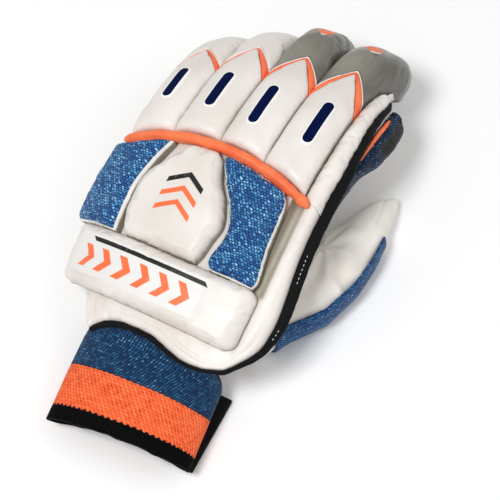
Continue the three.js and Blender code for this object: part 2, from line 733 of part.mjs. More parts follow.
// Finger rolls with pointed ends, their vents, trims and tip pads.
const ridge = (finger, u) => {
  const x = Math.min(Math.abs(u - finger.middle) / (fingerWidth / 2), 1);
  return Math.sqrt(1 - 0.96 * x ** 2.2);
};
const rollTop = (finger, u) => valleyHeight + (padHeight - valleyHeight) * ridge(finger, u);
const chevronAt = (finger, u) => {
  const x = Math.min(Math.abs(u - finger.middle) / (fingerWidth / 2), 1);
  return finger.peak + (finger.dip - finger.peak) * x;
};
fingers.forEach((finger) => {
  const left = finger.left + seamGap / 2;
  const right = finger.right - seamGap / 2;
  const across = (s) => left + s * (right - left);
  add(`${finger.name}_roll`, cushion({
    columns: 8,
    rows: 6,
    at: (s, t) => {
      const u = across(s);
      const low = barAt(u) + barGap + seamGap;
      return [u, low + t * (chevronAt(finger, u) - low)];
    },
    base: () => seamGap,
    top: (s, t, u) => rollTop(finger, u) * (1 - 0.12 * (1 - t) ** 6),
  }), white, 0.6);

  add(`${finger.name}_trim`, cushion({
    columns: 8,
    rows: 2,
    at: (s, t) => {
      const u = across(s);
      return [u, chevronAt(finger, u) + seamGap + t * trimWidth];
    },
    base: () => seamGap,
    top: (s, t, u) => rollTop(finger, u) * (trimHeight / padHeight),
  }), orange, 0.5);

  const spanAt = (v) => {
    const narrow = (fingerWidth / 2) * (1 - noseShare(finger, v, stallNose + 6)) * 0.8;
    const widen = finger.isIndex ? fingerWidth * tableAt(indexTipRows, 'widen', v / backLength) : 0;
    return { from: left + narrow, to: right + widen - narrow };
  };
  const tipTop = (s, v) => {
    const run = (v - finger.dip) / (finger.end - finger.dip);
    const bulge = Math.sin(Math.PI * Math.min(Math.max((run - 0.1) / 0.9, 0), 1));
    const crest = trimHeight + (padHeight - trimHeight + finger.dome * fingerWidth) * bulge;
    const fall = Math.sqrt(Math.max(1 - Math.max((run - 0.72) / 0.3, 0) ** 2, 0.02));
    const side = valleyHeight / crest
      + (1 - valleyHeight / crest) * Math.sqrt(1 - 0.96 * Math.abs(2 * s - 1) ** (finger.dome > 0.2 ? 3.6 : 2.6));
    return 1.2 + (crest - 1.2) * side * fall;
  };
  const tipEnd = finger.end - 4;
  add(`${finger.name}_tip_pad`, cushion({
    columns: 8,
    rows: finger.dome > 0.2 ? 10 : 8,
    at: (s, t) => {
      const low = chevronAt(finger, across(s)) + trimWidth + 2 * seamGap;
      const v = low + t * (tipEnd - low);
      const { from, to } = spanAt(v);
      const full = Math.min(2 * t, 1);
      return [across(s) + full * (from + s * (to - from) - across(s)), v];
    },
    base: () => seamGap,
    top: (s, t, u, v) => tipTop(s, v),
  }), finger.tipColor, 0.45);

  add(`${finger.name}_vent`, cushion({
    columns: 2,
    rows: 6,
    at: (s, t) => {
      const v = ventStart + t * ventLength;
      const nearest = Math.min(v - ventStart, ventStart + ventLength - v, ventWidth / 2);
      const half = Math.max(Math.sqrt((ventWidth / 2) ** 2 - (ventWidth / 2 - nearest) ** 2), 0.5);
      return [finger.middle + (2 * s - 1) * half, v];
    },
    base: (s, t, u) => rollTop(finger, u) + seamGap,
    top: (s, t, u) => rollTop(finger, u) + seamGap + ventThickness,
  }), 0x0a1c4c, 0.5);

  if (finger.dome > 0.2) {
    const domeAt = (u, v) => tipTop((u - spanAt(v).from) / (spanAt(v).to - spanAt(v).from), v);
    const dotPlace = finger.end - dotBack * fingerWidth;
    add(`${finger.name}_tip_dot`, cushion({
      columns: 4,
      rows: 4,
      at: (s, t) => {
        const v = dotPlace + (t - 0.5) * dotLength;
        const half = (dotWidth / 2) * Math.sqrt(1 - 0.92 * (2 * t - 1) ** 2);
        return [finger.middle + (2 * s - 1) * half, v];
      },
      base: (s, t, u, v) => domeAt(u, v) + seamGap,
      top: (s, t, u, v) => domeAt(u, v) + seamGap + ventThickness,
    }), orange, 0.5);
  }
});

// Knitted cuff in three bands, from the palm's wrist rim to the hem.
const ovalAngles = [];
for (let i = 0; i < loopTop; i += 1) ovalAngles.push(35 + (110 * i) / (loopTop - 1));
for (let i = 1; i <= loopSide; i += 1) ovalAngles.push(145 + (90 * i) / loopSide);
for (let i = 1; i < loopBottom; i += 1) ovalAngles.push(235 + (70 * i) / loopBottom);
for (let i = loopSide; i >= 1; i -= 1) ovalAngles.push(305 + (90 * (loopSide - i)) / loopSide);

const cuffFrom = palmStart - seamGap;
const cuffTop = place(0, cuffFrom, 0).y;
const hemPlace = cuffTop - cuffLength;
function cuffRing(t, inset) {
  const start = handLoop(cuffFrom, inset);
  const grow = 1 - (1 - Math.min(t / cuffBlend, 1)) ** 2;
  const height = cuffHeight * (1 + cuffSwell * (1 - t));
  const low = strapThickness + seamGap;
  return start.map((point, i) => {
    const angle = ovalAngles[i] * degree;
    const cos = Math.cos(angle);
    const sin = Math.sin(angle);
    const wide = (cuffWidth / 2 - inset) * cos;
    const high = (height / 2 - inset) * sin;
    const x = cuffPlace + cuffDrift * t + wide;
    const z = low + height / 2 + high;
    const lean = (point.y - cuffTop) * (1 - t) ** 4;
    const y = cuffTop - t * cuffLength + lean + hemTurn * wide * Math.sqrt(t);
    return new THREE.Vector3(
      point.x + grow * (x - point.x),
      y + t * hemRake * Math.max(-sin, 0) ** 2,
      point.z + grow * (z - point.z),
    );
  });
}
function cuffBand(name, from, to, rings, color) {
  const shares = Array.from({ length: rings + 1 }, (_, i) => (from + ((to - from) * i) / rings) / cuffLength);
  add(name, shell(
    shares.map((t) => cuffRing(t, 0)),
    shares.map((t) => cuffRing(t, knitWall)),
  ), color, 0.9);
}
cuffBand('cuff_navy_band', 0, navyBand, 5, 0x18395d);
cuffBand('cuff_orange_band', navyBand + seamGap, navyBand + orangeBand, 2, orange);
cuffBand('cuff_black_hem', navyBand + orangeBand + seamGap, cuffLength, 1, black);

// Closure strap, flat under the cuff, its loose end past the thumb side.
const strap = new THREE.BoxGeometry(strapLength, strapWidth, strapThickness);
const strapMesh = add('closure_strap', strap, black, 0.8);
strapMesh.position.set(strapReach - strapLength / 2, hemPlace + hemRake + strapWidth / 2, strapThickness / 2);

// The glove stands on z = 0 with the middle of its box over the origin.
const extent = new THREE.Box3().setFromObject(group);
group.position.set(-(extent.min.x + extent.max.x) / 2, -(extent.min.y + extent.max.y) / 2, -extent.min.z);
group.updateMatrixWorld(true);

export default group;
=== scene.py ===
import math
import bmesh
import bpy
from mathutils.bvhtree import BVHTree
from mathutils import Matrix, Vector, noise


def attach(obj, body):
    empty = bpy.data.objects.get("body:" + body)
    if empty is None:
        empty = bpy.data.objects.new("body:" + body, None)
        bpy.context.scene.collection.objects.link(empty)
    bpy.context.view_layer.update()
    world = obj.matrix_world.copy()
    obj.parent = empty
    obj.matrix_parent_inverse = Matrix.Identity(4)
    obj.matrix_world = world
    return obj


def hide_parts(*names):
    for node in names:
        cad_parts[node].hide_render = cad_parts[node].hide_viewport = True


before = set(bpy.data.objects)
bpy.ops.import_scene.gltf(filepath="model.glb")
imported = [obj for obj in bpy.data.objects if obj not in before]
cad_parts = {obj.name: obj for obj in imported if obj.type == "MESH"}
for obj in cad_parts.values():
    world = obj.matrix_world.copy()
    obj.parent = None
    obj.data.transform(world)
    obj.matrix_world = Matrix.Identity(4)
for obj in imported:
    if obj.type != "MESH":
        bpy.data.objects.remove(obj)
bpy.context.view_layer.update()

print("frame loaded,", len(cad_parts), "nodes")

# camera
cameraSetup = {
    "azimuth": 27.2,      # degrees round from -Y toward +X
    "elevation": 62.0,
    "distance": 0.85,     # metres from the target
    "target": (0.01383, -0.00818, 0.030),
    "lens": 118.4,
}


def placeCamera(setup):
    a = math.radians(setup["azimuth"])
    e = math.radians(setup["elevation"])
    back = Vector((math.sin(a) * math.cos(e), -math.cos(a) * math.cos(e), math.sin(e)))
    data = bpy.data.cameras.new("gloveCamera")
    data.lens = setup["lens"]
    data.sensor_width = 36.0
    data.clip_end = 20.0
    camera = bpy.data.objects.new("gloveCamera", data)
    camera.location = Vector(setup["target"]) + back * setup["distance"]
    camera.rotation_euler = (-back).to_track_quat("-Z", "Y").to_euler()
    bpy.context.collection.objects.link(camera)
    bpy.context.scene.camera = camera


placeCamera(cameraSetup)
print("camera placed")

# pattern of the back
# u runs across the back, v along it and h out of it, all in millimetres.
backPattern = {
    "backLength": 111,
    "wristRise": 32.8,
    "wristPlace": -110,
    "fingerWidth": 25.6,
    "littleEdge": -47.2,
    "radiusWrist": 46,
    "radiusKnuckle": 124,
    "radiusThumb": 208,
    "roll": -12.4,
    "lean": 0.035,
    "shift": (-20.67, 22.023),
    "pitch": [(0, 20.4), (0.63, 15.7), (1.08, 5.9), (1.44, -19.8), (1.8, -47.5), (2.1, -66)],
    "left": [(0, -0.61), (0.1, -1.0), (0.165, -1.3), (0.24, -1.63), (0.34, -1.8), (0.5, -1.93),
             (1.08, -1.94)],
    "right": [(0, 1.73), (0.1, 2.15), (0.165, 2.36), (0.24, 2.53), (0.34, 2.58), (0.5, 2.58),
              (1.08, 2.58)],
    "seam": [(0, 0.02), (0.1, 0.055), (0.25, 0.096), (0.37, 0.107), (0.51, 0.105), (0.64, 0.081),
             (0.78, 0.062), (0.92, 0.068), (1, 0.101)],
    "barSag": 0.0036,
    "swell": (4.4, 40, 30),      # how far the margin bulges over the thumb's root, where, and its spread
}
backLength = backPattern["backLength"]
fingerWidth = backPattern["fingerWidth"]


def unit(x):
    return min(max(x, 0), 1)


def waver(x, y, z):
    return noise.noise(Vector((x, y, z)))


def straightAt(rows, x):
    if x <= rows[0][0]:
        return rows[0][1]
    for (x0, y0), (x1, y1) in zip(rows, rows[1:]):
        if x <= x1:
            return y0 + (y1 - y0) * (x - x0) / (x1 - x0)
    return rows[-1][1]


def curveAt(rows, x):
    # smooth line through the rows, level with the chords at each row
    if x <= rows[0][0]:
        return rows[0][1]
    if x >= rows[-1][0]:
        return rows[-1][1]
    k = 0
    while x > rows[k + 1][0]:
        k += 1
    (x0, y0), (x1, y1) = rows[k], rows[k + 1]
    before = rows[max(k - 1, 0)]
    after = rows[min(k + 2, len(rows) - 1)]
    slope0 = (y1 - before[1]) / (x1 - before[0])
    slope1 = (after[1] - y0) / (after[0] - x0)
    w = x1 - x0
    p = (x - x0) / w
    return ((2 * p ** 3 - 3 * p ** 2 + 1) * y0 + (p ** 3 - 2 * p ** 2 + p) * w * slope0
            + (3 * p ** 2 - 2 * p ** 3) * y1 + (p ** 3 - p ** 2) * w * slope1)


def walkSpine():
    first = math.radians(backPattern["pitch"][0][1])
    y = backPattern["wristPlace"] - 20 * math.cos(first)
    z = backPattern["wristRise"] - 20 * math.sin(first)
    line = []
    for v in range(-20, 292):
        pitch = math.radians(straightAt(backPattern["pitch"], v / backLength))
        line.append((y, z, pitch))
        after = math.radians(straightAt(backPattern["pitch"], (v + 1) / backLength))
        y += math.cos((pitch + after) / 2)
        z += math.sin((pitch + after) / 2)
    return line


spine = walkSpine()


def spineAt(v):
    place = min(max(v + 20, 0), len(spine) - 1.001)
    low = spine[int(place)]
    high = spine[int(place) + 1]
    share = place - int(place)
    return [a + share * (b - a) for a, b in zip(low, high)]


def archAt(u, v, h):
    reach = unit(v / (1.08 * backLength))
    little = backPattern["radiusWrist"] + reach * (backPattern["radiusKnuckle"] - backPattern["radiusWrist"])
    radius = little if u < 0 else backPattern["radiusThumb"]
    roll = math.radians(backPattern["roll"])
    angle = u / radius + roll
    past = v - 0.95 * backLength
    drift = backPattern["lean"] * past * unit(past / 20)
    x = radius * (math.sin(angle) - math.sin(roll)) + h * math.sin(angle) + drift
    rise = radius * (math.cos(angle) - math.cos(roll)) + h * math.cos(angle)
    return x, rise


def inPlane(x, rise, v):
    y, z, pitch = spineAt(v)
    shift = backPattern["shift"]
    return Vector((x + shift[0], y - rise * math.sin(pitch) + shift[1], z + rise * math.cos(pitch))) / 1000


def sewn(u, v, h):
    x, rise = archAt(u, v, h)
    return inPlane(x, rise, v)


def barAt(u):
    return backLength - backPattern["barSag"] * (u - 4) ** 2


def leftEdge(v):
    return fingerWidth * curveAt(backPattern["left"], v / backLength)


def edgeSwell(v):
    most, middle, spread = backPattern["swell"]
    return most * math.exp(-((v - middle) / spread) ** 2)


def rightEdge(v):
    return fingerWidth * curveAt(backPattern["right"], v / backLength) + edgeSwell(v)


def seamAt(s):
    return backLength * curveAt(backPattern["seam"], s)


def wobble(p, size, amount, seed=0.0):
    return amount * waver(p[0] / size + seed, p[1] / size - seed, seed * 1.7)


# making pieces
def finishPiece(piece, material, nodes=()):
    piece.data.materials.clear()
    piece.data.materials.append(material)
    for face in piece.data.polygons:
        face.use_smooth = True
    if nodes:
        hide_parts(*nodes)
    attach(piece, "root")
    return piece


def pieceFrom(bm, name):
    bmesh.ops.recalc_face_normals(bm, faces=bm.faces[:])
    mesh = bpy.data.meshes.new(name)
    bm.to_mesh(mesh)
    bm.free()
    piece = bpy.data.objects.new(name, mesh)
    bpy.context.collection.objects.link(piece)
    return piece


def sewnPiece(name, columns, rows, at, base, top, walls=2, bulge=0.0):
    # a grid in pattern space, thickened from its base up to its top
    bm = bmesh.new()
    bmesh.ops.create_grid(bm, x_segments=columns, y_segments=rows, size=0.5)
    raised = bmesh.ops.extrude_face_region(bm, geom=bm.faces[:], use_keep_orig=True)
    lifted = [g for g in raised["geom"] if isinstance(g, bmesh.types.BMVert)]
    bmesh.ops.translate(bm, verts=lifted, vec=(0, 0, 1))
    upright = [e for e in bm.edges if abs(e.verts[0].co.z - e.verts[1].co.z) > 0.5]
    bmesh.ops.subdivide_edges(bm, edges=upright, cuts=walls, use_grid_fill=True)
    edgeLayer = bm.verts.layers.float.new("edgeMm")
    riseLayer = bm.verts.layers.float.new("riseShare")
    uvLayer = bm.loops.layers.uv.new("patternMap")
    placed = {}
    for vert in bm.verts:
        s = unit(vert.co.x + 0.5)
        t = unit(vert.co.y + 0.5)
        level = vert.co.z
        u, v = at(s, t)
        u0, v0 = at(0, t)
        u1, v1 = at(1, t)
        ua, va = at(s, 0)
        ub, vb = at(s, 1)
        side = min(math.hypot(u - u0, v - v0), math.hypot(u1 - u, v1 - v))
        end = min(math.hypot(u - ua, v - va), math.hypot(ub - u, vb - v))
        vert[edgeLayer] = min(side, end) - 4 * (1 - level)
        vert[riseLayer] = level
        low = base(u, v)
        high = top(s, t, u, v, side, end)
        swell = bulge * math.sin(math.pi * min(level, 1)) if 0 < level < 1 else 0
        across = (s - 0.5) * 2 if side < 0.01 else 0
        along = (t - 0.5) * 2 if end < 0.01 else 0
        placed[vert] = (u, v)
        vert.co = sewn(u + swell * across, v + swell * along, low + (high - low) * level)
    for face in bm.faces:
        for loop in face.loops:
            u, v = placed[loop.vert]
            loop[uvLayer].uv = (u / 100, v / 100)
    return pieceFrom(bm, name)


def skinBase(u, v):
    # what lies on the skin starts just above it
    return 0.4


def sweptPiece(name, path, widths, heights, rows=None, around=12):
    # a closed round section swept along points of the pattern (u, v, h)
    count = len(path) - 1

    def pathAt(t):
        x = min(max(t * count, 0), count - 1e-6)
        k = int(x)
        p = x - k
        a = Vector(path[max(k - 1, 0)])
        b = Vector(path[k])
        c = Vector(path[k + 1])
        d = Vector(path[min(k + 2, count)])
        return 0.5 * ((2 * b) + (c - a) * p + (2 * a - 5 * b + 4 * c - d) * p ** 2
                      + (3 * b - a - 3 * c + d) * p ** 3)

    rows = rows or count * 4
    bm = bmesh.new()
    bmesh.ops.create_grid(bm, x_segments=around, y_segments=rows, size=0.5)
    uvLayer = bm.loops.layers.uv.new("patternMap")
    length = sum((Vector(b) - Vector(a)).length for a, b in zip(path, path[1:]))
    flat = {vert: (vert.co.x + 0.5, vert.co.y + 0.5) for vert in bm.verts}
    for face in bm.faces:
        for loop in face.loops:
            s, t = flat[loop.vert]
            loop[uvLayer].uv = (s * around * 0.011, t * length / 100)
    for vert, (s, t) in flat.items():
        here = pathAt(t)
        ahead = (pathAt(min(t + 0.01, 1)) - pathAt(max(t - 0.01, 0)))
        ahead.z = 0
        ahead.normalize()
        angle = 2 * math.pi * s
        wide = curveAt(widths, t) * math.cos(angle)
        high = curveAt(heights, t) * math.sin(angle)
        vert.co = sewn(here.x + ahead.y * wide, here.y - ahead.x * wide, here.z + high)
    bmesh.ops.remove_doubles(bm, verts=bm.verts[:], dist=1e-6)
    rims = [e for e in bm.edges if e.is_boundary]
    bmesh.ops.holes_fill(bm, edges=rims, sides=0)
    return pieceFrom(bm, name)


def softCopy(name, nodes, voxel, smoothing):
    # one soft skin over copies of the CAD solids
    bm = bmesh.new()
    for node in nodes:
        bm.from_mesh(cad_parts[node].data)
    bmesh.ops.remove_doubles(bm, verts=bm.verts[:], dist=1e-6)
    mesh = bpy.data.meshes.new(name)
    bm.to_mesh(mesh)
    bm.free()
    piece = bpy.data.objects.new(name, mesh)
    bpy.context.collection.objects.link(piece)
    remesh = piece.modifiers.new("skin", "REMESH")
    remesh.mode = "VOXEL"
    remesh.voxel_size = voxel / 1000
    smooth = piece.modifiers.new("soft", "SMOOTH")
    smooth.factor = 0.5
    smooth.iterations = smoothing
    settle(piece)
    return piece


def settle(piece):
    # takes the modifiers into the mesh
    bpy.context.view_layer.update()
    graph = bpy.context.evaluated_depsgraph_get()
    mesh = bpy.data.meshes.new_from_object(piece.evaluated_get(graph))
    old = piece.data
    piece.modifiers.clear()
    piece.data = mesh
    mesh.name = piece.name
    bpy.data.meshes.remove(old)


def displace(piece, amountAt):
    mesh = piece.data
    moves = [v.normal * amountAt(v.co * 1000, v.normal) / 1000 for v in mesh.vertices]
    for vert, move in zip(mesh.vertices, moves):
        vert.co += move
        vert.co.z = max(vert.co.z, 0.0)
    mesh.update()


def puffPads(pads, look):
    # a short cloth run at ten times the size, with every pad's lower wall held
    scene = bpy.context.scene
    runs = []
    for piece, cap in pads:
        mesh = piece.data.copy()
        mesh.transform(Matrix.Scale(look["scale"], 4))
        double = bpy.data.objects.new(piece.name + "Run", mesh)
        scene.collection.objects.link(double)
        held = double.vertex_groups.new(name="held")
        held.add([v.index for v, rise in zip(mesh.vertices, mesh.attributes["riseShare"].data)
                  if rise.value < look["heldBelow"]], 1.0, "REPLACE")
        cloth = double.modifiers.new("puff", "CLOTH")
        cloth.point_cache.frame_start = 1
        cloth.point_cache.frame_end = look["frames"]
        cloth.settings.quality = 4
        cloth.settings.mass = 0.15
        cloth.settings.use_pressure = True
        cloth.settings.uniform_pressure_force = look["pressure"]
        cloth.settings.shrink_min = look["slack"]
        cloth.settings.vertex_group_mass = "held"
        cloth.settings.effector_weights.gravity = 0
        cloth.settings.bending_stiffness = look["bending"]
        cloth.collision_settings.use_collision = False
        runs.append((piece, double, cap))
    for frameNumber in range(1, look["frames"] + 1):
        scene.frame_set(frameNumber)
    graph = bpy.context.evaluated_depsgraph_get()
    for piece, double, cap in runs:
        after = double.evaluated_get(graph).data.vertices
        for vert, swelled in zip(piece.data.vertices, after):
            move = swelled.co / look["scale"] - vert.co
            if move.length > cap / 1000:
                move *= cap / 1000 / move.length
            vert.co += move
        piece.data.update()
        mesh = double.data
        bpy.data.objects.remove(double)
        bpy.data.meshes.remove(mesh)
    scene.frame_set(1)


def stitchRow(name, points, spacing, length, width, height, material, lift=0.0):
    # small rounded stitches laid along points of the pattern (u, v, h)
    bm = bmesh.new()
    walked = 0.0
    due = spacing / 2
    for a, b in zip(points, points[1:]):
        start, stop = Vector(a), Vector(b)
        run = (stop - start).length
        while due <= walked + run:
            here = start.lerp(stop, (due - walked) / run)
            ahead = (stop - start).normalized()
            middle = sewn(here.x, here.y, here.z + lift)
            front = sewn(here.x + ahead.x, here.y + ahead.y, here.z + ahead.z + lift) - middle
            out = sewn(here.x, here.y, here.z + lift + 1) - middle
            front.normalize()
            out.normalize()
            side = out.cross(front).normalized()
            out = front.cross(side)
            made = bmesh.ops.create_icosphere(bm, subdivisions=1, radius=0.5)
            for vert in made["verts"]:
                x, y, z = vert.co
                vert.co = middle + (front * x * length + side * y * width + out * z * height) / 1000
            due += spacing
        walked += run
    piece = pieceFrom(bm, name)
    return finishPiece(piece, material, ())


# materials
def startMaterial(name, roughness, specular=0.5):
    material = bpy.data.materials.new(name)
    material.use_nodes = True
    shader = material.node_tree.nodes["Principled BSDF"]
    shader.inputs["Roughness"].default_value = roughness
    shader.inputs["Specular IOR Level"].default_value = specular
    return material, material.node_tree, shader


def calc(tree, operation, a, b=None):
    node = tree.nodes.new("ShaderNodeMath")
    node.operation = operation
    for socket, value in zip(node.inputs, (a, b)):
        if value is None:
            continue
        if isinstance(value, (int, float)):
            socket.default_value = value
        else:
            tree.links.new(value, socket)
    return node.outputs[0]


def times(tree, a, b):
    return calc(tree, "MULTIPLY", a, b)


def plus(tree, a, b):
    return calc(tree, "ADD", a, b)


def minus(tree, a, b):
    return calc(tree, "SUBTRACT", a, b)


def over(tree, a, b):
    return calc(tree, "DIVIDE", a, b)


def blendColor(tree, share, a, b):
    node = tree.nodes.new("ShaderNodeMix")
    node.data_type = "RGBA"
    for socket, value in zip((node.inputs[0], node.inputs[6], node.inputs[7]), (share, a, b)):
        if isinstance(value, (int, float)):
            socket.default_value = value
        elif isinstance(value, tuple):
            socket.default_value = (*value, 1.0)
        else:
            tree.links.new(value, socket)
    return node.outputs[2]


def step(tree, value, low, high, a=0.0, b=1.0):
    node = tree.nodes.new("ShaderNodeMapRange")
    node.interpolation_type = "SMOOTHSTEP"
    tree.links.new(value, node.inputs[0])
    for socket, number in zip(node.inputs[1:5], (low, high, a, b)):
        socket.default_value = number
    return node.outputs[0]


def objectPoint(tree, turn=(0, 0, 0)):
    coords = tree.nodes.new("ShaderNodeTexCoord")
    mapping = tree.nodes.new("ShaderNodeMapping")
    mapping.inputs["Rotation"].default_value = [math.radians(d) for d in turn]
    tree.links.new(coords.outputs["Object"], mapping.inputs["Vector"])
    return mapping.outputs[0]


def noiseAt(tree, point, size, detail=3.0, roughness=0.5):
    node = tree.nodes.new("ShaderNodeTexNoise")
    tree.links.new(point, node.inputs["Vector"])
    node.inputs["Scale"].default_value = 1000 / size
    node.inputs["Detail"].default_value = detail
    node.inputs["Roughness"].default_value = roughness
    return node.outputs["Fac"]


def cellsAt(tree, point, size):
    node = tree.nodes.new("ShaderNodeTexVoronoi")
    tree.links.new(point, node.inputs["Vector"])
    node.inputs["Scale"].default_value = 1000 / size
    return node.outputs["Distance"]


def addBump(tree, shader, height, distance, strength=1.0, before=None):
    node = tree.nodes.new("ShaderNodeBump")
    node.inputs["Strength"].default_value = strength
    node.inputs["Distance"].default_value = distance / 1000
    tree.links.new(height, node.inputs["Height"])
    if before is not None:
        tree.links.new(before, node.inputs["Normal"])
    tree.links.new(node.outputs[0], shader.inputs["Normal"])
    return node.outputs[0]


def patternUv(tree):
    node = tree.nodes.new("ShaderNodeUVMap")
    node.uv_map = "patternMap"
    split = tree.nodes.new("ShaderNodeSeparateXYZ")
    tree.links.new(node.outputs[0], split.inputs[0])
    return times(tree, split.outputs[0], 100), times(tree, split.outputs[1], 100)


def placeAt(tree, axis):
    # the object's own x, y or z in millimetres
    split = tree.nodes.new("ShaderNodeSeparateXYZ")
    tree.links.new(objectPoint(tree), split.inputs[0])
    return times(tree, split.outputs[axis], 1000)


def tint(material, share, color):
    # lays a colour over the base colour
    tree = material.node_tree
    base = tree.nodes["Principled BSDF"].inputs["Base Color"]
    tree.links.new(blendColor(tree, share, base.links[0].from_socket, color), base)


def attributeAt(tree, name):
    node = tree.nodes.new("ShaderNodeAttribute")
    node.attribute_name = name
    return node.outputs["Fac"]


def rgb(r, g, b):
    def one(c):
        c /= 255
        return c / 12.92 if c <= 0.04045 else ((c + 0.055) / 1.055) ** 2.4
    return one(r), one(g), one(b)


leatherLook = {
    "white": rgb(232, 226, 221),
    "whiteShade": rgb(220, 213, 206),
    "seamShade": rgb(146, 139, 122),      # painted shade in the seams and down the pieces' walls
    "grainSize": 0.9,
    "poreSize": 0.35,
}


def leatherMaterial(name, roughness, color=leatherLook["white"], shade=leatherLook["whiteShade"],
                    seamShade=leatherLook["seamShade"], grain=0.05, edges=True):
    material, tree, shader = startMaterial(name, roughness, 0.42)
    shader.inputs["Sheen Weight"].default_value = 0.05
    shader.inputs["Sheen Roughness"].default_value = 0.5
    shader.inputs["Coat Weight"].default_value = 0.06
    shader.inputs["Coat Roughness"].default_value = 0.35
    point = objectPoint(tree)
    patches = noiseAt(tree, point, 34, 4.0)
    tone = blendColor(tree, step(tree, patches, 0.35, 0.72), color, shade)
    # painted shade: each piece darkens toward its edges and down its walls, where shade falls in the seams
    if edges:
        near = attributeAt(tree, "edgeMm")
        wander = noiseAt(tree, point, 5, 3.0)
        reach = plus(tree, near, times(tree, minus(tree, wander, 0.5), 1.4))
        tone = blendColor(tree, step(tree, reach, 0.9, -1.8, 0.0, 0.8), tone, seamShade)
    tree.links.new(tone, shader.inputs["Base Color"])
    cells = cellsAt(tree, point, leatherLook["grainSize"])
    pores = noiseAt(tree, point, leatherLook["poreSize"] * 2, 2.0)
    creases = noiseAt(tree, point, 7, 5.0, 0.6)
    height = plus(tree, times(tree, cells, 0.6), times(tree, pores, 0.4))
    first = addBump(tree, shader, creases, 0.25, 0.5)
    addBump(tree, shader, height, grain, 0.8, first)
    gloss = step(tree, noiseAt(tree, point, 11, 3.0), 0.3, 0.7, roughness - 0.07, roughness + 0.08)
    tree.links.new(gloss, shader.inputs["Roughness"])
    return material


def weaveCells(tree, across, along, wide, tall, slant):
    # brick-laid stitches: returns a thread height 0..1 and a random number for each stitch
    y = over(tree, along, tall)
    row = calc(tree, "FLOOR", y)
    offset = times(tree, calc(tree, "PINGPONG", row, 1.0), 0.5)
    x = plus(tree, over(tree, across, wide), offset)
    fx = minus(tree, calc(tree, "FRACT", x), 0.5)
    fy = minus(tree, calc(tree, "FRACT", y), 0.5)
    leaned = plus(tree, fy, times(tree, fx, slant))
    a = calc(tree, "COSINE", times(tree, fx, math.pi))
    b = calc(tree, "COSINE", times(tree, leaned, math.pi))
    height = times(tree, a, calc(tree, "MAXIMUM", b, 0.0))
    combine = tree.nodes.new("ShaderNodeCombineXYZ")
    tree.links.new(calc(tree, "FLOOR", x), combine.inputs[0])
    tree.links.new(row, combine.inputs[1])
    chance = tree.nodes.new("ShaderNodeTexWhiteNoise")
    chance.noise_dimensions = "2D"
    tree.links.new(combine.outputs[0], chance.inputs["Vector"])
    return height, chance.outputs["Value"]


def weaveMaterial(name, look, coords=None, rim=None):
    material, tree, shader = startMaterial(name, look["roughness"], look["specular"])
    shader.inputs["Sheen Weight"].default_value = look["sheen"]
    if coords is None:
        across, along = patternUv(tree)
    else:
        across, along = coords(tree)
    point = objectPoint(tree)
    wander = times(tree, minus(tree, noiseAt(tree, point, 6, 2.0), 0.5), look["wander"])
    across = plus(tree, across, wander)
    along = minus(tree, along, wander)
    height, chance = weaveCells(tree, across, along, look["wide"], look["tall"], look["slant"])
    thread = blendColor(tree, step(tree, chance, 0.1, 0.9), look["thread"], look["light"])
    tone = blendColor(tree, step(tree, height, look["gap"] - 0.12, look["gap"] + 0.14), look["dark"], thread)
    if "pits" in look:
        pit = times(tree, step(tree, chance, look["pits"], look["pits"] - 0.05), step(tree, height, 0.3, 0.1))
        tone = blendColor(tree, pit, tone, look["pitColor"])
    # painted glints: rare near-white stitches on the thread crests stand in for highlights
    glint = times(tree, step(tree, chance, 0.88, 0.96), step(tree, height, 0.6, 0.9))
    tone = blendColor(tree, times(tree, glint, look["glints"]), tone, look["glint"])
    bumpBase = height
    if rim is not None:
        edge = attributeAt(tree, "edgeMm")
        onRim = step(tree, edge, rim["width"] + 0.12, rim["width"] - 0.12)
        tone = blendColor(tree, onRim, tone, rim["color"])
        # painted shade down the pad's wall, below its white rim
        wall = step(tree, edge, rim["wall"] + 0.2, rim["wall"] - 0.6)
        tone = blendColor(tree, wall, tone, rim["wallShadeColor"])
        bumpBase = calc(tree, "MAXIMUM", height, onRim)
    tree.links.new(tone, shader.inputs["Base Color"])
    addBump(tree, shader, bumpBase, look["relief"], 0.9)
    return material


whiteLeather = leatherMaterial("whiteLeather", 0.42)
plainLeather = leatherMaterial("palmLeather", 0.5, edges=False)
# painted light: a lighter copy of the white leather, brightening the thumb that lies in the hand's shade
thumbLitLeather = leatherMaterial("thumbLitLeather", 0.5, rgb(240, 236, 229), rgb(227, 222, 214),
                               edges=False)
greyLeather = leatherMaterial("greyLeather", 0.3, rgb(138, 136, 125), rgb(118, 115, 106),
                              rgb(52, 48, 43), 0.03)
paintedTipShade = {"from": 0.45, "most": 0.7, "color": rgb(78, 76, 70)}


def paintTipShade(material, look):
    # painted shade: each grey tip darkens toward the thumb's side, away from the key light
    tree = material.node_tree
    start = backPattern["littleEdge"] + 2 * fingerWidth
    place = over(tree, minus(tree, patternUv(tree)[0], start), fingerWidth)
    place = minus(tree, place, step(tree, place, 0.998, 1.002))
    tint(material, step(tree, place, look["from"], 1.0, 0.0, look["most"]), look["color"])


paintTipShade(greyLeather, paintedTipShade)
print("pattern and materials ready")

# back panel: apron over the cuff, ground under the pads and the padded margin
panelLook = {
    "columns": 120,
    "rows": 104,
    "thickness": 4.0,
    "rollStart": 57.2,     # u where the margin roll begins
    "rollHeight": 7.4,
    "wrinkleDepth": 2.6,
}
barGap = 2.95


def panelAt(s, t):
    low = seamAt(s)
    topLeft = leftEdge(backLength)
    high = barAt(topLeft + s * (rightEdge(backLength) - topLeft)) + barGap
    v = low + t * (high - low)
    return leftEdge(v) + s * (rightEdge(v) - leftEdge(v)), v


def marginRoll(u, outer):
    # half-round profile of the padded margin beside the pads and fingers
    start = panelLook["rollStart"]
    x = (u - start) / max(outer - start, 1)
    if x <= 0:
        return 0
    arc = math.sin(math.pi * min(x, 1))
    return arc ** 0.55 * (1 if x < 0.5 else 0.5 + 0.5 * arc)


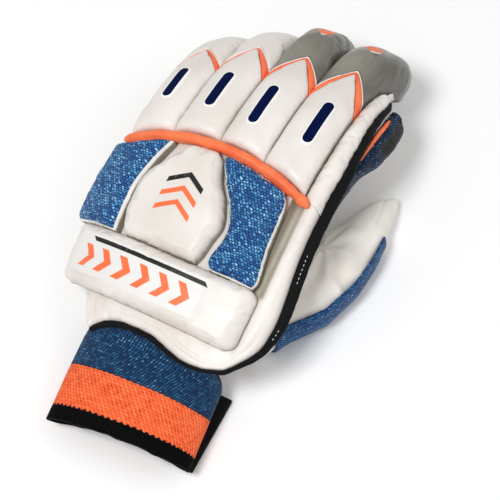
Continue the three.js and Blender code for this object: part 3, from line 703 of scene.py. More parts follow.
def panelTop(s, t, u, v, side, end):
    h = panelLook["thickness"]
    roll = marginRoll(u, rightEdge(v)) * unit((v - 14) / 22)
    h += (panelLook["rollHeight"] - h) * roll
    rim = min(side, end if t < 0.5 else 9)
    h -= 2.2 * (1 - min(rim / 3.2, 1)) ** 2
    apron = max(0, 1 - max(v - 18, 0) / 26)
    gather = max(0, 1 - side / 34) if u < 10 else 0.08
    fold = waver(u / 4.2 + v / 11, (v - u * 0.35) / 17, 2.0)
    fine = waver(u / 2.1 + v / 4, v / 8, 6.0)
    h += panelLook["wrinkleDepth"] * apron * gather * (fold + 0.35 * fine)
    h += wobble((u, v), 16, 0.5, 1.3) * apron
    h += 0.5 * roll * waver(u / 6, v / 9, 9.0)
    if u > -8 and v < 46:
        edge = min(side if s > 0.5 else 99, end if t < 0.5 else 99)
        h -= 0.7 * math.exp(-((edge - 5.4) / 0.7) ** 2) * min((u + 8) / 16, 1) * min((46 - v) / 12, 1)
    return h


backPanel = sewnPiece("backPanel", panelLook["columns"], panelLook["rows"], panelAt,
                      skinBase, panelTop)
panelLeather = leatherMaterial("panelLeather", 0.42)
channelShadeLook = {
    "start": 52.0, "ends": (50.0, 104.0), "bend": -0.035,      # where it starts across, its ends along
    "bands": [(59.6, rgb(172, 166, 150), 0.9), (55.8, rgb(122, 113, 98), 1.2)],      # reach, colour, blur
}


def paintChannelShade(material, look):
    # painted shade in the channel between the inner pad and the margin
    tree = material.node_tree
    u, v = patternUv(tree)
    bend = times(tree, minus(tree, v, look["ends"][0]), look["bend"])
    across = minus(tree, u, bend)
    for reach, color, soft in look["bands"]:
        inside = times(tree, step(tree, across, reach + soft, reach - soft),
                      step(tree, across, look["start"] - 0.5, look["start"] + 0.5))
        for edge, soft in zip(look["ends"], (1.5, -1.5)):
            inside = times(tree, inside, step(tree, v, edge - soft, edge + soft))
        tint(material, inside, color)


paintChannelShade(panelLeather, channelShadeLook)
finishPiece(backPanel, panelLeather, ["back_panel"])

# padded margin beside the index finger
marginLook = {
    "end": 193.0,
    "slim": [(1.1, 0), (1.3, 1.6), (1.5, 3.0), (1.74, 2.6)],     # how far the outer edge pulls in
    "inner": [(1, 0), (1.5, 0), (1.62, 0.06), (1.69, 0.22)],
    "outer": [(1, 0), (1.5, 0), (1.62, 0), (1.69, -0.05)],
}


def marginInner(v):
    return 2.266 * fingerWidth + fingerWidth * straightAt(marginLook["inner"], v / backLength)


def marginOuter(v):
    full = rightEdge(v) + fingerWidth * straightAt(marginLook["outer"], v / backLength)
    return full - curveAt(marginLook["slim"], v / backLength)


def marginAt(s, t):
    low = barAt(58 + s * (rightEdge(backLength) - 58)) + barGap + 0.2
    v = low + t * (marginLook["end"] - low)
    inner = marginInner(v) - 2.7
    return inner + s * (marginOuter(v) - inner), v


def marginTop(s, t, u, v, side, end):
    round1 = math.sin(math.pi * (0.08 + 0.84 * s)) ** 0.7
    h = 1.2 + 6.2 * round1
    h *= 1 - 0.35 * max(0, t - 0.9) / 0.1
    h += 0.55 * waver(u / 6, v / 9, 9.0) + 0.5 * wobble((u, v), 4, 1, 4.0) * t
    tipFold = unit((v - 168) / 18)
    h += 1.3 * tipFold * waver(u / 5 + v / 7, v / 2.6, 3.0)
    return h


indexMargin = sewnPiece("indexMargin", 14, 90, marginAt, skinBase, marginTop)
finishPiece(indexMargin, whiteLeather, ["index_margin"])
print("panel and margin made")

# main pads over the back of the hand
padBase = 4.7
padLook = {
    "bottom": 52.2,
    "height": 12.6,
    "wall": 0.55,      # share of the height that stands straight
}
outerPadLook = {
    "left": [(0, -2.13), (0.25, -2.13), (0.5, -2.08), (0.75, -2.0), (1, -1.93)],
    "right": [(0, -0.95), (0.25, -0.985), (0.5, -0.985), (0.75, -0.88), (1, -0.7)],
}
centrePadLook = {
    "left": [(0, -0.67), (0.08, -0.78), (0.25, -0.92), (0.43, -0.955), (0.64, -0.87), (0.78, -0.66),
             (0.95, -0.36), (1, -0.25)],
    "right": [(0, 0.86), (0.08, 0.92), (0.25, 0.97), (0.43, 1.02), (0.64, 0.82), (0.78, 0.6),
              (0.95, 0.42), (1, 0.28)],
}
innerPadLook = {
    "left": [(0, 1.2), (0.08, 1.1), (0.33, 1.16), (0.45, 1.12), (0.6, 0.97), (0.75, 0.74), (0.92, 0.52),
             (1, 0.46)],
    "right": [(0, 2.08), (0.08, 2.12), (0.33, 2.06), (0.45, 2.03), (0.6, 2.01), (0.75, 1.98), (0.92, 1.93),
              (1, 1.8)],
}


def padCrown(side, end, radius, wall):
    a = min(side / radius, 1)
    b = min(end / radius, 1)
    corner = math.sqrt(max(1 - (1 - a) ** 2, 0)) * math.sqrt(max(1 - (1 - b) ** 2, 0))
    return wall + (1 - wall) * corner


def mainPad(name, look, columns, rows, radius, crown, seed):
    def at(s, t):
        left = fingerWidth * curveAt(look["left"], t)
        right = fingerWidth * curveAt(look["right"], t)
        u = left + s * (right - left)
        high = barAt(u) - barGap - 0.35
        return u, padLook["bottom"] + t * (high - padLook["bottom"])

    def top(s, t, u, v, side, end):
        h = padBase + (padLook["height"] - padBase) * padCrown(side, end, radius, padLook["wall"])
        h += crown * (1 - (2 * s - 1) ** 2) * (1 - (2 * t - 1) ** 2)
        return h + wobble((u, v), 9, 0.35, seed)

    return sewnPiece(name, columns, rows, at, lambda u, v: padBase, top, walls=3, bulge=0.5)


outerPad = mainPad("outerMeshPad", outerPadLook, 34, 56, 3.4, 0.8, 2.2)
centrePad = mainPad("centrePad", centrePadLook, 50, 56, 4.6, 0.5, 3.1)
innerPad = mainPad("innerMeshPad", innerPadLook, 34, 56, 3.4, 0.8, 5.4)

# wrist bar pad
wristBarLook = {
    "bottom": 20.2,
    "top": 51.4,
    "left": -47.5,
    "right": 57.5,
    "corner": 5.5,
    "height": 13.2,
    "edgeRound": 6.5,
}


def wristBarAt(s, t):
    look = wristBarLook
    v = look["bottom"] + t * (look["top"] - look["bottom"])
    nearest = min(v - look["bottom"], look["top"] - v, look["corner"])
    inset = look["corner"] - math.sqrt(max(look["corner"] ** 2 - (look["corner"] - nearest) ** 2, 0))
    left = look["left"] + inset
    right = look["right"] - inset
    return left + s * (right - left), v


def wristBarTop(s, t, u, v, side, end):
    h = padBase + (wristBarLook["height"] - padBase) * padCrown(side, end, wristBarLook["edgeRound"], 0.42)
    label = min(abs(u + 2) - 38, 0) / -2
    inner = unit(label) * unit((v - 25) / 1.2) * unit((47.5 - v) / 1.2)
    h -= 0.55 * inner
    h += 0.35 * waver(u / 13, v / 7, 4.0)
    h += 0.4 * waver(u / 5, v / 16, 7.0) * (1 - min(end / 6, 1))
    return h


wristBar = sewnPiece("wristBarPad", 110, 40, wristBarAt, lambda u, v: padBase, wristBarTop,
                     walls=3, bulge=0.6)
print("main pads made")

# finger rolls with their orange trims, tip pads, vents and dots
fingerLook = {
    "valley": 7.0,
    "crest": 13.0,
    "trimShare": 0.97,
    "edgeWidth": 0.9,
    "seam": 0.35,
    "nose": 13.0,
    "dot": 1.63,       # how far the dot sits back from the end, in finger widths
}
fingerRows = [
    {"name": "little", "chevron": 2.38, "valley": 1.72, "tip": 4.25, "dome": 0.03,
     "trim": (0.1, 1.3, 4.4), "vent": (0, 0.3, 22)},
    {"name": "ring", "chevron": 2.52, "valley": 1.72, "tip": 4.8, "dome": 0.12,
     "trim": (3.6, 1.8, 7.0), "vent": (-0.5, -0.4, 22.5)},
    {"name": "middle", "chevron": 2.52, "valley": 1.72, "tip": 4.96, "dome": 0.36,
     "trim": (5.4, 1.8, 7.2), "vent": (-1.5, -2.2, 23)},
    {"name": "index", "chevron": 2.6, "valley": 1.64, "tip": 4.97, "dome": 0.33,
     "trim": (7.4, 2.6, 8.8), "vent": (1.2, -1.6, 24)},
]      # trim: widths at the left valley, the peak and the right valley; vent: offset in u and v, length
softParts = []      # finger pads and how far each may swell, in millimetres
indexWiden = [(1.42, 0), (1.55, 0.1), (1.67, 0.3), (1.8, 0.34), (1.96, 0.24), (2.1, 0.1)]
for number, finger in enumerate(fingerRows):
    finger["left"] = backPattern["littleEdge"] + number * fingerWidth + 0.1
    finger["right"] = backPattern["littleEdge"] + (number + 1) * fingerWidth - 0.1
    finger["middle"] = (finger["left"] + finger["right"]) / 2
    finger["end"] = backLength + finger["tip"] * fingerWidth
    finger["peak"] = backLength + finger["chevron"] * fingerWidth
    finger["dip"] = backLength + finger["valley"] * fingerWidth
    finger["number"] = number


def ridge(finger, u):
    x = min(abs(u - finger["middle"]) / (fingerWidth / 2), 1)
    return math.sqrt(max(1 - 0.97 * x ** 2.3, 0.0))


def rollTop(finger, u):
    return fingerLook["valley"] + (fingerLook["crest"] - fingerLook["valley"]) * ridge(finger, u)


def chevronAt(finger, u):
    x = min(abs(u - finger["middle"]) / (fingerWidth / 2), 1)
    x = math.sqrt(x * x + 0.0009) - 0.03 * (1 - x)
    x = x ** 0.86 if u < finger["middle"] else x
    return finger["peak"] + (finger["dip"] - finger["peak"]) * x


def trimWidthAt(finger, u):
    x = min(max((u - finger["middle"]) / (fingerWidth / 2), -1), 1)
    left, peak, right = finger["trim"]
    return peak + ((left if x < 0 else right) - peak) * abs(x) ** 0.9


def noseShare(finger, v, nose):
    past = unit((v - finger["end"] + nose) / nose)
    return math.sqrt(1 - 0.93 * past ** 2.2)


def spanAt(finger, v):
    narrow = (fingerWidth / 2) * (1 - noseShare(finger, v, fingerLook["nose"] + 6)) * 0.8
    widen = fingerWidth * curveAt(indexWiden, v / backLength) if finger["name"] == "index" else 0
    return finger["left"] + narrow, finger["right"] + widen - narrow


def tipTop(finger, s, v):
    run = (v - finger["dip"]) / (finger["end"] - finger["dip"])
    bulge = math.sin(math.pi * unit((run - 0.1) / 0.9))
    crest = 12.6 + (13 - 12.6 + finger["dome"] * fingerWidth) * bulge
    fall = math.sqrt(max(1 - max((run - 0.72) / 0.3, 0) ** 2, 0.02))
    power = 3.6 if finger["dome"] > 0.2 else 2.6
    valley = fingerLook["valley"] / crest
    side = valley + (1 - valley) * math.sqrt(max(1 - 0.97 * abs(2 * s - 1) ** power, 0))
    return 1.2 + (crest - 1.2) * side * fall


def makeFinger(finger, tipMaterial):
    name = finger["name"]
    left, right = finger["left"], finger["right"]
    seed = 3.7 * finger["number"]
    seam = fingerLook["seam"]

    def rollAt(s, t):
        u = left + s * (right - left)
        low = barAt(u) + barGap + 0.3
        return u, low + t * (chevronAt(finger, u) - low)

    def rollShape(s, t, u, v, side, end):
        h = rollTop(finger, u)
        start = min((v - barAt(u) - barGap) / 5.5, 1)
        h *= 0.66 + 0.34 * math.sqrt(max(1 - (1 - max(start, 0)) ** 2, 0))
        h -= 0.5 * (1 - min(max(chevronAt(finger, u) - v, 0) / 1.6, 1)) ** 2
        h += 0.4 * waver(u / 9 + seed, v / 14, seed)
        crumple = waver(u / 3.2 + seed, v / 5, seed + 2)
        h += 0.3 * crumple * (1 - ridge(finger, u))
        return h

    roll = sewnPiece(name + "RollPad", 30, 54, rollAt, skinBase, rollShape)
    softParts.append((roll, 0.35))
    finishPiece(roll, whiteLeather, [name + "_roll"])

    def trimAt(s, t):
        u = left + s * (right - left)
        return u, chevronAt(finger, u) + seam * 0.5 + t * trimWidthAt(finger, u)

    def trimShape(s, t, u, v, side, end):
        return rollTop(finger, u) * fingerLook["trimShare"] + 0.8 * math.sin(math.pi * t) ** 0.6 - 0.3

    trim = sewnPiece(name + "TrimBand", 44, 7, trimAt, skinBase, trimShape)
    finishPiece(trim, orangeVinyl, [name + "_trim"])

    def edgeAt(s, t):
        u = left + s * (right - left)
        return u, chevronAt(finger, u) + seam * 0.6 + trimWidthAt(finger, u) + t * fingerLook["edgeWidth"]

    edge = sewnPiece(name + "TrimEdge", 44, 4, edgeAt, skinBase,
                     lambda s, t, u, v, side, end: rollTop(finger, u) * 0.98 + 0.45 * math.sin(math.pi * t))
    finishPiece(edge, rimLeather, ())

    tipEnd = finger["end"] - 4

    def tipAt(s, t):
        u = left + s * (right - left)
        low = chevronAt(finger, u) + trimWidthAt(finger, u) + fingerLook["edgeWidth"] + seam * 0.7
        v = low + t * (tipEnd - low)
        start, stop = spanAt(finger, v)
        full = min(2 * t, 1)
        return u + full * (start + s * (stop - start) - u), v

    def tipShape(s, t, u, v, side, end):
        h = tipTop(finger, s, v)
        h -= 0.7 * (1 - min(end / 1.8, 1)) ** 2 if t < 0.5 else 0
        level = rollTop(finger, u) + 0.3
        if t < 0.5 and h > level:
            lift = min(end / 17, 1)
            h = level + (h - level) * lift * lift * (3 - 2 * lift)
        h += 0.45 * waver(u / 8 + seed, v / 12, seed + 5)
        if finger["dome"] > 0.2:
            pull = math.exp(-((s - 0.93) / 0.07) ** 2) * math.exp(-((t - 0.42) / 0.16) ** 2)
            h += 1.1 * pull * waver(u / 1.6 + v / 9, v / 14, seed + 3)
        else:
            h += 0.35 * waver(u / 3 + seed, v / 7, seed + 8) * (1 - ridge(finger, u))
        return h

    tip = sewnPiece(name + "TipPad", 34, 64, tipAt, skinBase, tipShape)
    softParts.append((tip, 0.5))
    finishPiece(tip, tipMaterial, [name + "_tip_pad"])

    ventSide, ventUp, ventLength = finger["vent"]
    ventStart, ventWidth = 1.153 * backLength + ventUp, 5.3

    def pillAt(grow):
        def at(s, t):
            start, stop = ventStart - grow, ventStart + ventLength + grow
            half = ventWidth / 2 + grow
            v = start + t * (stop - start)
            nearest = min(v - start, stop - v, half)
            wide = math.sqrt(max(half ** 2 - (half - nearest) ** 2, 0.02))
            return finger["middle"] + ventSide + (2 * s - 1) * wide, v
        return at

    def patchTop(rise, dome):
        # upper side of a flat patch on the roll, rounded at its edge
        return lambda s, t, u, v, side, end: rollTop(finger, u) + rise + dome * min(min(side, end) / 0.5, 1)

    rim = sewnPiece(name + "VentRim", 14, 44, pillAt(1.0), lambda u, v: rollTop(finger, u) - 0.3,
                    patchTop(0.5, 0.4))
    finishPiece(rim, rimLeather, ())
    vent = sewnPiece(name + "VentMesh", 12, 40, pillAt(0), lambda u, v: rollTop(finger, u) + 0.1,
                     patchTop(0.85, 0.25))
    finishPiece(vent, ventFabric, [name + "_vent"])

    if finger["dome"] > 0.2:
        dotPlace = finger["end"] - fingerLook["dot"] * fingerWidth

        def domeAt(u, v):
            start, stop = spanAt(finger, v)
            return tipTop(finger, (u - start) / (stop - start), v)

        def discAt(length, width):
            def at(s, t):
                v = dotPlace + (t - 0.5) * length
                half = (width / 2) * math.sqrt(max(1 - (2 * t - 1) ** 2, 0.004))
                return finger["middle"] + (2 * s - 1) * half, v
            return at

        ring = sewnPiece(name + "DotRim", 16, 16, discAt(8.6, 10.2), lambda u, v: domeAt(u, v) - 0.3,
                         lambda s, t, u, v, side, end: domeAt(u, v) + 0.45)
        finishPiece(ring, dotRim, ())
        dot = sewnPiece(name + "DotPatch", 16, 16, discAt(7, 8.5), lambda u, v: domeAt(u, v) + 0.1,
                        lambda s, t, u, v, side, end: domeAt(u, v) + 0.6 + 0.25 * min(min(side, end) / 1, 1))
        finishPiece(dot, orangeVinyl, [name + "_tip_dot"])


def vinylMaterial(name, color, shade, roughness, coat):
    material, tree, shader = startMaterial(name, roughness, 0.35)
    shader.inputs["Coat Weight"].default_value = coat
    shader.inputs["Coat Roughness"].default_value = 0.2
    point = objectPoint(tree)
    tone = blendColor(tree, step(tree, noiseAt(tree, point, 9, 4.0), 0.35, 0.7), color, shade)
    tree.links.new(tone, shader.inputs["Base Color"])
    addBump(tree, shader, noiseAt(tree, point, 3.5, 4.0), 0.3, 0.35)
    return material


orangeVinyl = vinylMaterial("orangeVinyl", rgb(250, 126, 78), rgb(242, 106, 60), 0.5, 0.04)
rimLeather = leatherMaterial("rimLeather", 0.45, rgb(244, 242, 240), rgb(236, 233, 230),
                             grain=0.03, edges=False)
dotRim = leatherMaterial("dotRim", 0.4, rgb(206, 203, 196), rgb(190, 186, 178),
                         grain=0.03, edges=False)
meshLook = {
    "thread": rgb(20, 86, 152), "light": rgb(88, 166, 216), "dark": rgb(3, 42, 94),
    "glint": rgb(206, 236, 248), "wide": 1.7, "tall": 1.3, "slant": 0.1, "gap": 0.34,
    "wander": 4.4, "relief": 0.45, "roughness": 0.4, "sheen": 0.0, "glints": 0.7, "specular": 0.3,
}
meshRim = {
    # white rim piping, then painted shade on the pad's wall
    "width": 0.5, "color": rgb(244, 242, 238), "wall": -0.25, "wallShadeColor": rgb(138, 131, 114),
}
blueMesh = weaveMaterial("blueMesh", meshLook, rim=meshRim)
ventLook = {
    "thread": rgb(2, 18, 66), "light": rgb(5, 25, 80), "dark": rgb(2, 10, 42),
    "glint": rgb(20, 44, 104), "wide": 1.1, "tall": 0.8, "slant": 0.5, "gap": 0.3,
    "wander": 0.6, "relief": 0.2, "roughness": 0.8, "sheen": 0.0, "glints": 0.2, "specular": 0.05,
}
ventFabric = weaveMaterial("ventFabric", ventLook)

# plain printed stripes on the wrist bar and the centre pad
printLook = {
    "orange": rgb(250, 112, 60),
    "black": rgb(6, 6, 8),
    "label": rgb(230, 230, 228),
    "bar": {"start": -29, "v": (29.2, 41.0), "middle": 35.1, "pitch": 10.7, "share": 0.46, "lean": 0.75},
    "line": {"u": (-29, 34), "v": (43.3, 45.6)},
    "chevron": {"middle": 2.0, "half": 9.5, "low": 74.0, "pitch": 7.4, "share": 0.44, "lean": 0.62},
}


def between(tree, value, low, high, soft=0.2):
    return times(tree, step(tree, value, low - soft, low + soft),
                step(tree, value, high + soft, high - soft))


def printedMaterial(name, marksAt):
    material = leatherMaterial(name, 0.42)
    tree = material.node_tree
    u, v = patternUv(tree)
    worn = step(tree, noiseAt(tree, objectPoint(tree), 1.6, 4.0), 0.2, 0.42, 0.75, 1.0)
    for mask, color in marksAt(tree, u, v):
        tint(material, times(tree, mask, worn), color)
    return material


def barMarks(tree, u, v):
    bar, line = printLook["bar"], printLook["line"]
    label = times(tree, between(tree, u, -38, 36.5, 1.0), between(tree, v, 26, 47, 0.8))
    yield times(tree, label, 0.8), printLook["label"]
    lean = times(tree, calc(tree, "ABSOLUTE", minus(tree, v, bar["middle"])), bar["lean"])
    turn = over(tree, minus(tree, plus(tree, u, lean), bar["start"]), bar["pitch"])
    stripe = between(tree, calc(tree, "FRACT", turn), 0.06, bar["share"], 0.02)
    inside = times(tree, between(tree, turn, 0, 5.9, 0.01), between(tree, v, *bar["v"]))
    yield times(tree, stripe, inside), printLook["orange"]
    slanted = plus(tree, u, times(tree, v, 1.0))
    ends = between(tree, slanted, line["u"][0] + 44.5, line["u"][1] + 44.5)
    yield times(tree, ends, between(tree, v, *line["v"])), printLook["black"]


def centreMarks(tree, u, v):
    look = printLook["chevron"]
    side = calc(tree, "ABSOLUTE", minus(tree, u, look["middle"]))
    leaned = plus(tree, v, times(tree, side, look["lean"]))
    turn = over(tree, minus(tree, leaned, look["low"]), look["pitch"])
    stripe = between(tree, calc(tree, "FRACT", turn), 0.05, look["share"], 0.03)
    wide = step(tree, side, look["half"] + 0.2, look["half"] - 0.2)
    for low, high, color in ((0.0, 1.99, "orange"), (2.0, 2.99, "black")):
        share = times(tree, stripe, wide)
        yield times(tree, share, between(tree, turn, low, high, 0.01)), printLook[color]


barLeather = printedMaterial("barLeather", barMarks)
centreLeather = printedMaterial("centreLeather", centreMarks)

finishPiece(outerPad, blueMesh, ["outer_mesh_pad"])
finishPiece(innerPad, blueMesh, ["inner_mesh_pad"])
finishPiece(centrePad, centreLeather, ["centre_pad"])
finishPiece(wristBar, barLeather, ["wrist_bar_pad"])
for finger in fingerRows:
    if finger["name"] in ("middle", "index"):
        makeFinger(finger, greyLeather)
    else:
        makeFinger(finger, whiteLeather)
print("fingers made")

# every pad swells a little against its seams
puffLook = {
    "scale": 10, "frames": 20, "pressure": 4.0, "slack": -0.02, "bending": 0.5, "heldBelow": 0.4,
}
mainParts = [(outerPad, 0.9), (centrePad, 0.9), (innerPad, 0.9), (wristBar, 1.0), (indexMargin, 0.8)]
puffPads(mainParts + softParts, puffLook)
print("pads puffed")

# knuckle bar, swept with a knotted end at the thumb side
barLook = {
    "left": -48.3,
    "right": 59.6,
    "widths": [(0, 0.8), (0.03, 2.3), (0.1, 2.7), (0.5, 2.7), (0.88, 2.75), (0.93, 2.2), (0.96, 2.9),
               (1, 0.9)],
    "heights": [(0, 1.4), (0.03, 3.2), (0.1, 3.7), (0.5, 3.8), (0.88, 3.7), (0.93, 3.1), (0.96, 3.5),
                (1, 1.2)],
}
barPath = []
for k in range(25):
    u = barLook["left"] + (barLook["right"] - barLook["left"]) * k / 24
    barPath.append((u, barAt(u), 8.2 + 0.25 * math.sin(k * 1.7)))
knuckleBar = sweptPiece("knuckleBar", barPath, barLook["widths"], barLook["heights"], rows=200, around=20)
displace(knuckleBar, lambda p, n: 0.22 * noise.noise(Vector(p) / 3.0) + 0.12 * noise.noise(Vector(p) / 1.2))
finishPiece(knuckleBar, orangeVinyl, ["knuckle_roll"])

# black binding tape round the apron and up the thumb side
tapeLook = {
    "radius": 1.9,
    "widths": [(0, 1.2), (0.04, 1.5), (0.2, 1.5), (0.3, 1.2), (0.42, 1.0), (0.5, 1.7), (0.56, 2.8),
               (0.78, 2.9), (0.86, 2.2), (0.97, 1.9), (1, 0.9)],
    "heights": [(0, 1.0), (0.05, 1.5), (0.2, 1.5), (0.42, 1.1), (0.55, 1.7), (0.8, 1.8), (0.9, 1.6),
                (1, 0.8)],
}
tapeLine = []
for k in range(25):
    v = seamAt(k / 24)
    tapeLine.append((leftEdge(v) + k / 24 * (rightEdge(v) - leftEdge(v)), v))
v = tapeLine[-1][1] + 6
while v < 190:
    tapeLine.append((marginOuter(v), v))
    v += 6
tapePath = []
for k, (u, v) in enumerate(tapeLine):
    u0, v0 = tapeLine[max(k - 1, 0)]
    u1, v1 = tapeLine[min(k + 1, len(tapeLine) - 1)]
    run = math.hypot(u1 - u0, v1 - v0)
    off = 0.85 * curveAt(tapeLook["widths"], k / (len(tapeLine) - 1))
    tapePath.append((u + (v1 - v0) / run * off, v - (u1 - u0) / run * off, tapeLook["radius"] + 0.35))
bindingTape = sweptPiece("bindingTape", tapePath, tapeLook["widths"], tapeLook["heights"],
                         rows=320, around=16)
displace(bindingTape, lambda p, n: 0.3 * noise.noise(Vector(p) / 5.0) + 0.15 * noise.noise(Vector(p) / 1.6))


def tapeMaterial(name, color, light, roughness):
    material, tree, shader = startMaterial(name, roughness, 0.2)
    shader.inputs["Sheen Weight"].default_value = 0.03
    point = objectPoint(tree)
    tone = blendColor(tree, step(tree, noiseAt(tree, point, 2.2, 4.0), 0.45, 0.75), color, light)
    tree.links.new(tone, shader.inputs["Base Color"])
    addBump(tree, shader, noiseAt(tree, point, 1.0, 3.0), 0.25, 0.7)
    return material


blackTape = tapeMaterial("blackTape", rgb(3, 3, 4), rgb(11, 11, 13), 0.8)
finishPiece(bindingTape, blackTape, ["back_binding"])
print("bar and tape made")

# palm and finger stalls: soft leather over the CAD walls
stallLook = {"voxel": 1.05, "smoothing": 12, "crease": 0.5}


def softCrease(p, size, amount, seed):
    folds = waver(p[0] / size + seed, p[1] / (size * 1.6), p[2] / (size * 1.6))
    return amount * folds + 0.4 * amount * noise.noise(p / (size * 0.35))


palmSkin = softCopy("palmSkin", ["palm"], 0.95, 5)
displace(palmSkin, lambda p, n: softCrease(p, 11, 0.45, 2.0))
finishPiece(palmSkin, plainLeather, ["palm"])
for finger in fingerRows:
    node = finger["name"] + "_stall"
    stall = softCopy(finger["name"] + "Stall", [node], stallLook["voxel"], stallLook["smoothing"])
    displace(stall, lambda p, n: softCrease(p, 7, stallLook["crease"], finger["number"]))
    finishPiece(stall, plainLeather, [node])

# thumb stall with folds at its root, and the mesh strip on its outer side
thumbLook = {
    "voxel": 1.1,
    "smoothing": 14,
    "heading": 69.7,
    "base": (25.4, -45.8),     # in the part's own frame
    "crotch": (46.0, 13.0),
    "lean": (-2.6, 1.9),
    "foldDepth": 1.0,
}


def thumbAlong(p):
    a = math.radians(thumbLook["heading"])
    x = p[0] - thumbLook["base"][0]
    y = p[1] - thumbLook["base"][1]
    return x * math.cos(a) + y * math.sin(a), x * math.sin(a) - y * math.cos(a)


def thumbFolds(p, normal):
    # folds fan out from the crotch of the thumb
    along, aside = thumbAlong(p)
    x, y = p[0] - thumbLook["crotch"][0], p[1] - thumbLook["crotch"][1]
    reach = math.hypot(x, y)
    turn = math.atan2(y, x) + 0.5 * noise.noise(p / 16)
    fold = math.sin(turn * 7 + 0.06 * reach) - 0.4 * abs(math.sin(turn * 4.5 + 1))
    fold *= math.exp(-((reach - 17) / 13) ** 2)
    soft = noise.noise(p / 10) * 0.4 + noise.noise(p / 3.5) * 0.12
    seam = -0.6 * math.exp(-((aside - 6 + (along - 98) * 0.55) / 0.7) ** 2) if along > 84 else 0
    if normal.z < 0.15:
        fold, seam = 0, 0
    return thumbLook["foldDepth"] * fold + soft + seam


def leanThumb(piece):
    # the far half of the thumb leans in toward the index finger
    for vert in piece.data.vertices:
        share = unit((thumbAlong(vert.co * 1000)[0] - 55) / 50)
        share = share * share * (3 - 2 * share)
        vert.co.x += thumbLook["lean"][0] * share / 1000
        vert.co.y += thumbLook["lean"][1] * share / 1000
    piece.data.update()


thumbSkin = softCopy("thumbSkin", ["thumb_stall"], thumbLook["voxel"], thumbLook["smoothing"])
displace(thumbSkin, thumbFolds)
leanThumb(thumbSkin)
finishPiece(thumbSkin, thumbLitLeather, ["thumb_stall"])

thumbStrip = softCopy("thumbStrip", ["thumb_side_mesh"], 0.7, 4)
leanThumb(thumbStrip)


def turnedCoords(turn, rise):
    def coords(tree):
        split = tree.nodes.new("ShaderNodeSeparateXYZ")
        tree.links.new(objectPoint(tree, turn), split.inputs[0])
        along = times(tree, split.outputs[0], 1000)
        across = times(tree, plus(tree, split.outputs[rise], split.outputs[1]), 1000)
        return along, across
    return coords


stripLook = dict(meshLook, thread=rgb(18, 76, 142), light=rgb(58, 130, 190),
                 dark=rgb(4, 20, 54), wide=1.7, tall=1.25, glints=0.4, specular=0.15)
stripMesh = weaveMaterial("stripMesh", stripLook, turnedCoords((0, 0, -69.7), 2))
finishPiece(thumbStrip, stripMesh, ["thumb_side_mesh"])

gussetLook = dict(meshLook, thread=rgb(12, 34, 66), light=rgb(30, 70, 112),
                  dark=rgb(4, 9, 22), wide=1.8, tall=1.3, glints=0.3, specular=0.12)
sideLook = {
    "edge": (48.9, 65.8, 0.446),      # y and z at the start of the stripe, and how fast it falls
    "swell": 4.2, "from": 38, "reach": 16, "below": 8, "spread": 6.5,
    # drop, along and black: where the painted shade lies below the stripe, and its colour
    "drop": (89.0, 87.0), "along": (58, 62), "black": rgb(12, 12, 14),
}
gusset = softCopy("indexGusset", ["index_side_gusset"], 0.8, 5)


def gussetSwell(p, normal):
    # the finger's side stands out below the stripe
    look = sideLook
    y, z, fall = look["edge"]
    below = z - (p[1] - y) * fall - p[2]
    start = unit((p[1] - look["from"]) / look["reach"])
    rounded = math.exp(-((below - look["below"]) / look["spread"]) ** 2)
    out = look["swell"] * start * rounded if normal.x > 0.2 else 0
    return out + 0.35 * noise.noise(p / 6)


def paintSideShade(material, look):
    # painted shade: the finger's side ends in black where it meets the tape
    tree = material.node_tree
    y = placeAt(tree, 1)
    drop = plus(tree, placeAt(tree, 2), times(tree, y, look["edge"][2]))
    inside = times(tree, step(tree, drop, *look["drop"]), step(tree, y, *look["along"]))
    tint(material, inside, look["black"])


displace(gusset, gussetSwell)
gussetMesh = weaveMaterial("gussetMesh", gussetLook, turnedCoords((0, 0, -85), 2))
paintSideShade(gussetMesh, sideLook)
finishPiece(gusset, gussetMesh, ["index_side_gusset"])

stripeLook = {
    "path": [(48.6, 46.0, 65.1, 0.35), (48.9, 52.0, 64.7, 0.7), (49.2, 58.0, 63.9, 1.0),
             (49.5, 64.0, 62.7, 1.2), (49.8, 70.0, 60.6, 1.2), (50.0, 76.0, 57.9, 1.1),
             (49.8, 81.0, 55.2, 0.7)],      # x, y, z and radius
    "rows": 60, "around": 12, "lift": 0.1, "flat": 0.7,
}


def laidStripe(name, look, ground):
    # a tapered band laid on the surface of another piece
    skin = BVHTree.FromPolygons([v.co for v in ground.data.vertices],
                                [p.vertices[:] for p in ground.data.polygons])
    path, rows, around = look["path"], look["rows"], look["around"]
    bm = bmesh.new()
    loops = []
    for k in range(rows + 1):
        place = k / rows * (len(path) - 1)
        first = min(int(place), len(path) - 2)
        here, ahead = Vector(path[first]), Vector(path[first + 1])
        x, y, z, radius = here.lerp(ahead, place - first)
        near, normal, face, distance = skin.find_nearest(Vector((x, y, z)) / 1000)
        along = (ahead - here).to_3d().normalized()
        out = (normal - normal.dot(along) * along).normalized()
        wide = along.cross(out)
        ring = []
        for j in range(around):
            a = 2 * math.pi * j / around
            rise = look["lift"] + look["flat"] * math.sin(a) * radius
            ring.append(bm.verts.new(near + (wide * math.cos(a) * radius + out * rise) / 1000))
        loops.append(ring)
    for low, high in zip(loops, loops[1:]):
        for j in range(around):
            k = (j + 1) % around
            bm.faces.new((low[j], low[k], high[k], high[j]))
    bm.faces.new(loops[0][::-1])
    bm.faces.new(loops[-1])
    return pieceFrom(bm, name)


stripe = laidStripe("indexStripe", stripeLook, gusset)
finishPiece(stripe, orangeVinyl, ["index_side_stripe"])
print("palm, stalls and thumb made")

# knitted cuff: one tube in three bands
cuffLook = {
    "width": 77.0, "height": 22.0, "length": 51.5, "rake": 8.0, "turn": 0.1, "drift": 5.0,
    "navy": 24.0, "orange": 20.5, "wall": 2.2, "swell": 0.5, "blend": 0.22, "middle": 17.0,
    "from": 11.64, "strap": 2.6, "corner": 18.0,
    "tuck": (0.2, 0.85),      # share of the first band that leans on the inner wall, and how far
}
loopCounts = {"top": 9, "side": 5, "bottom": 5}


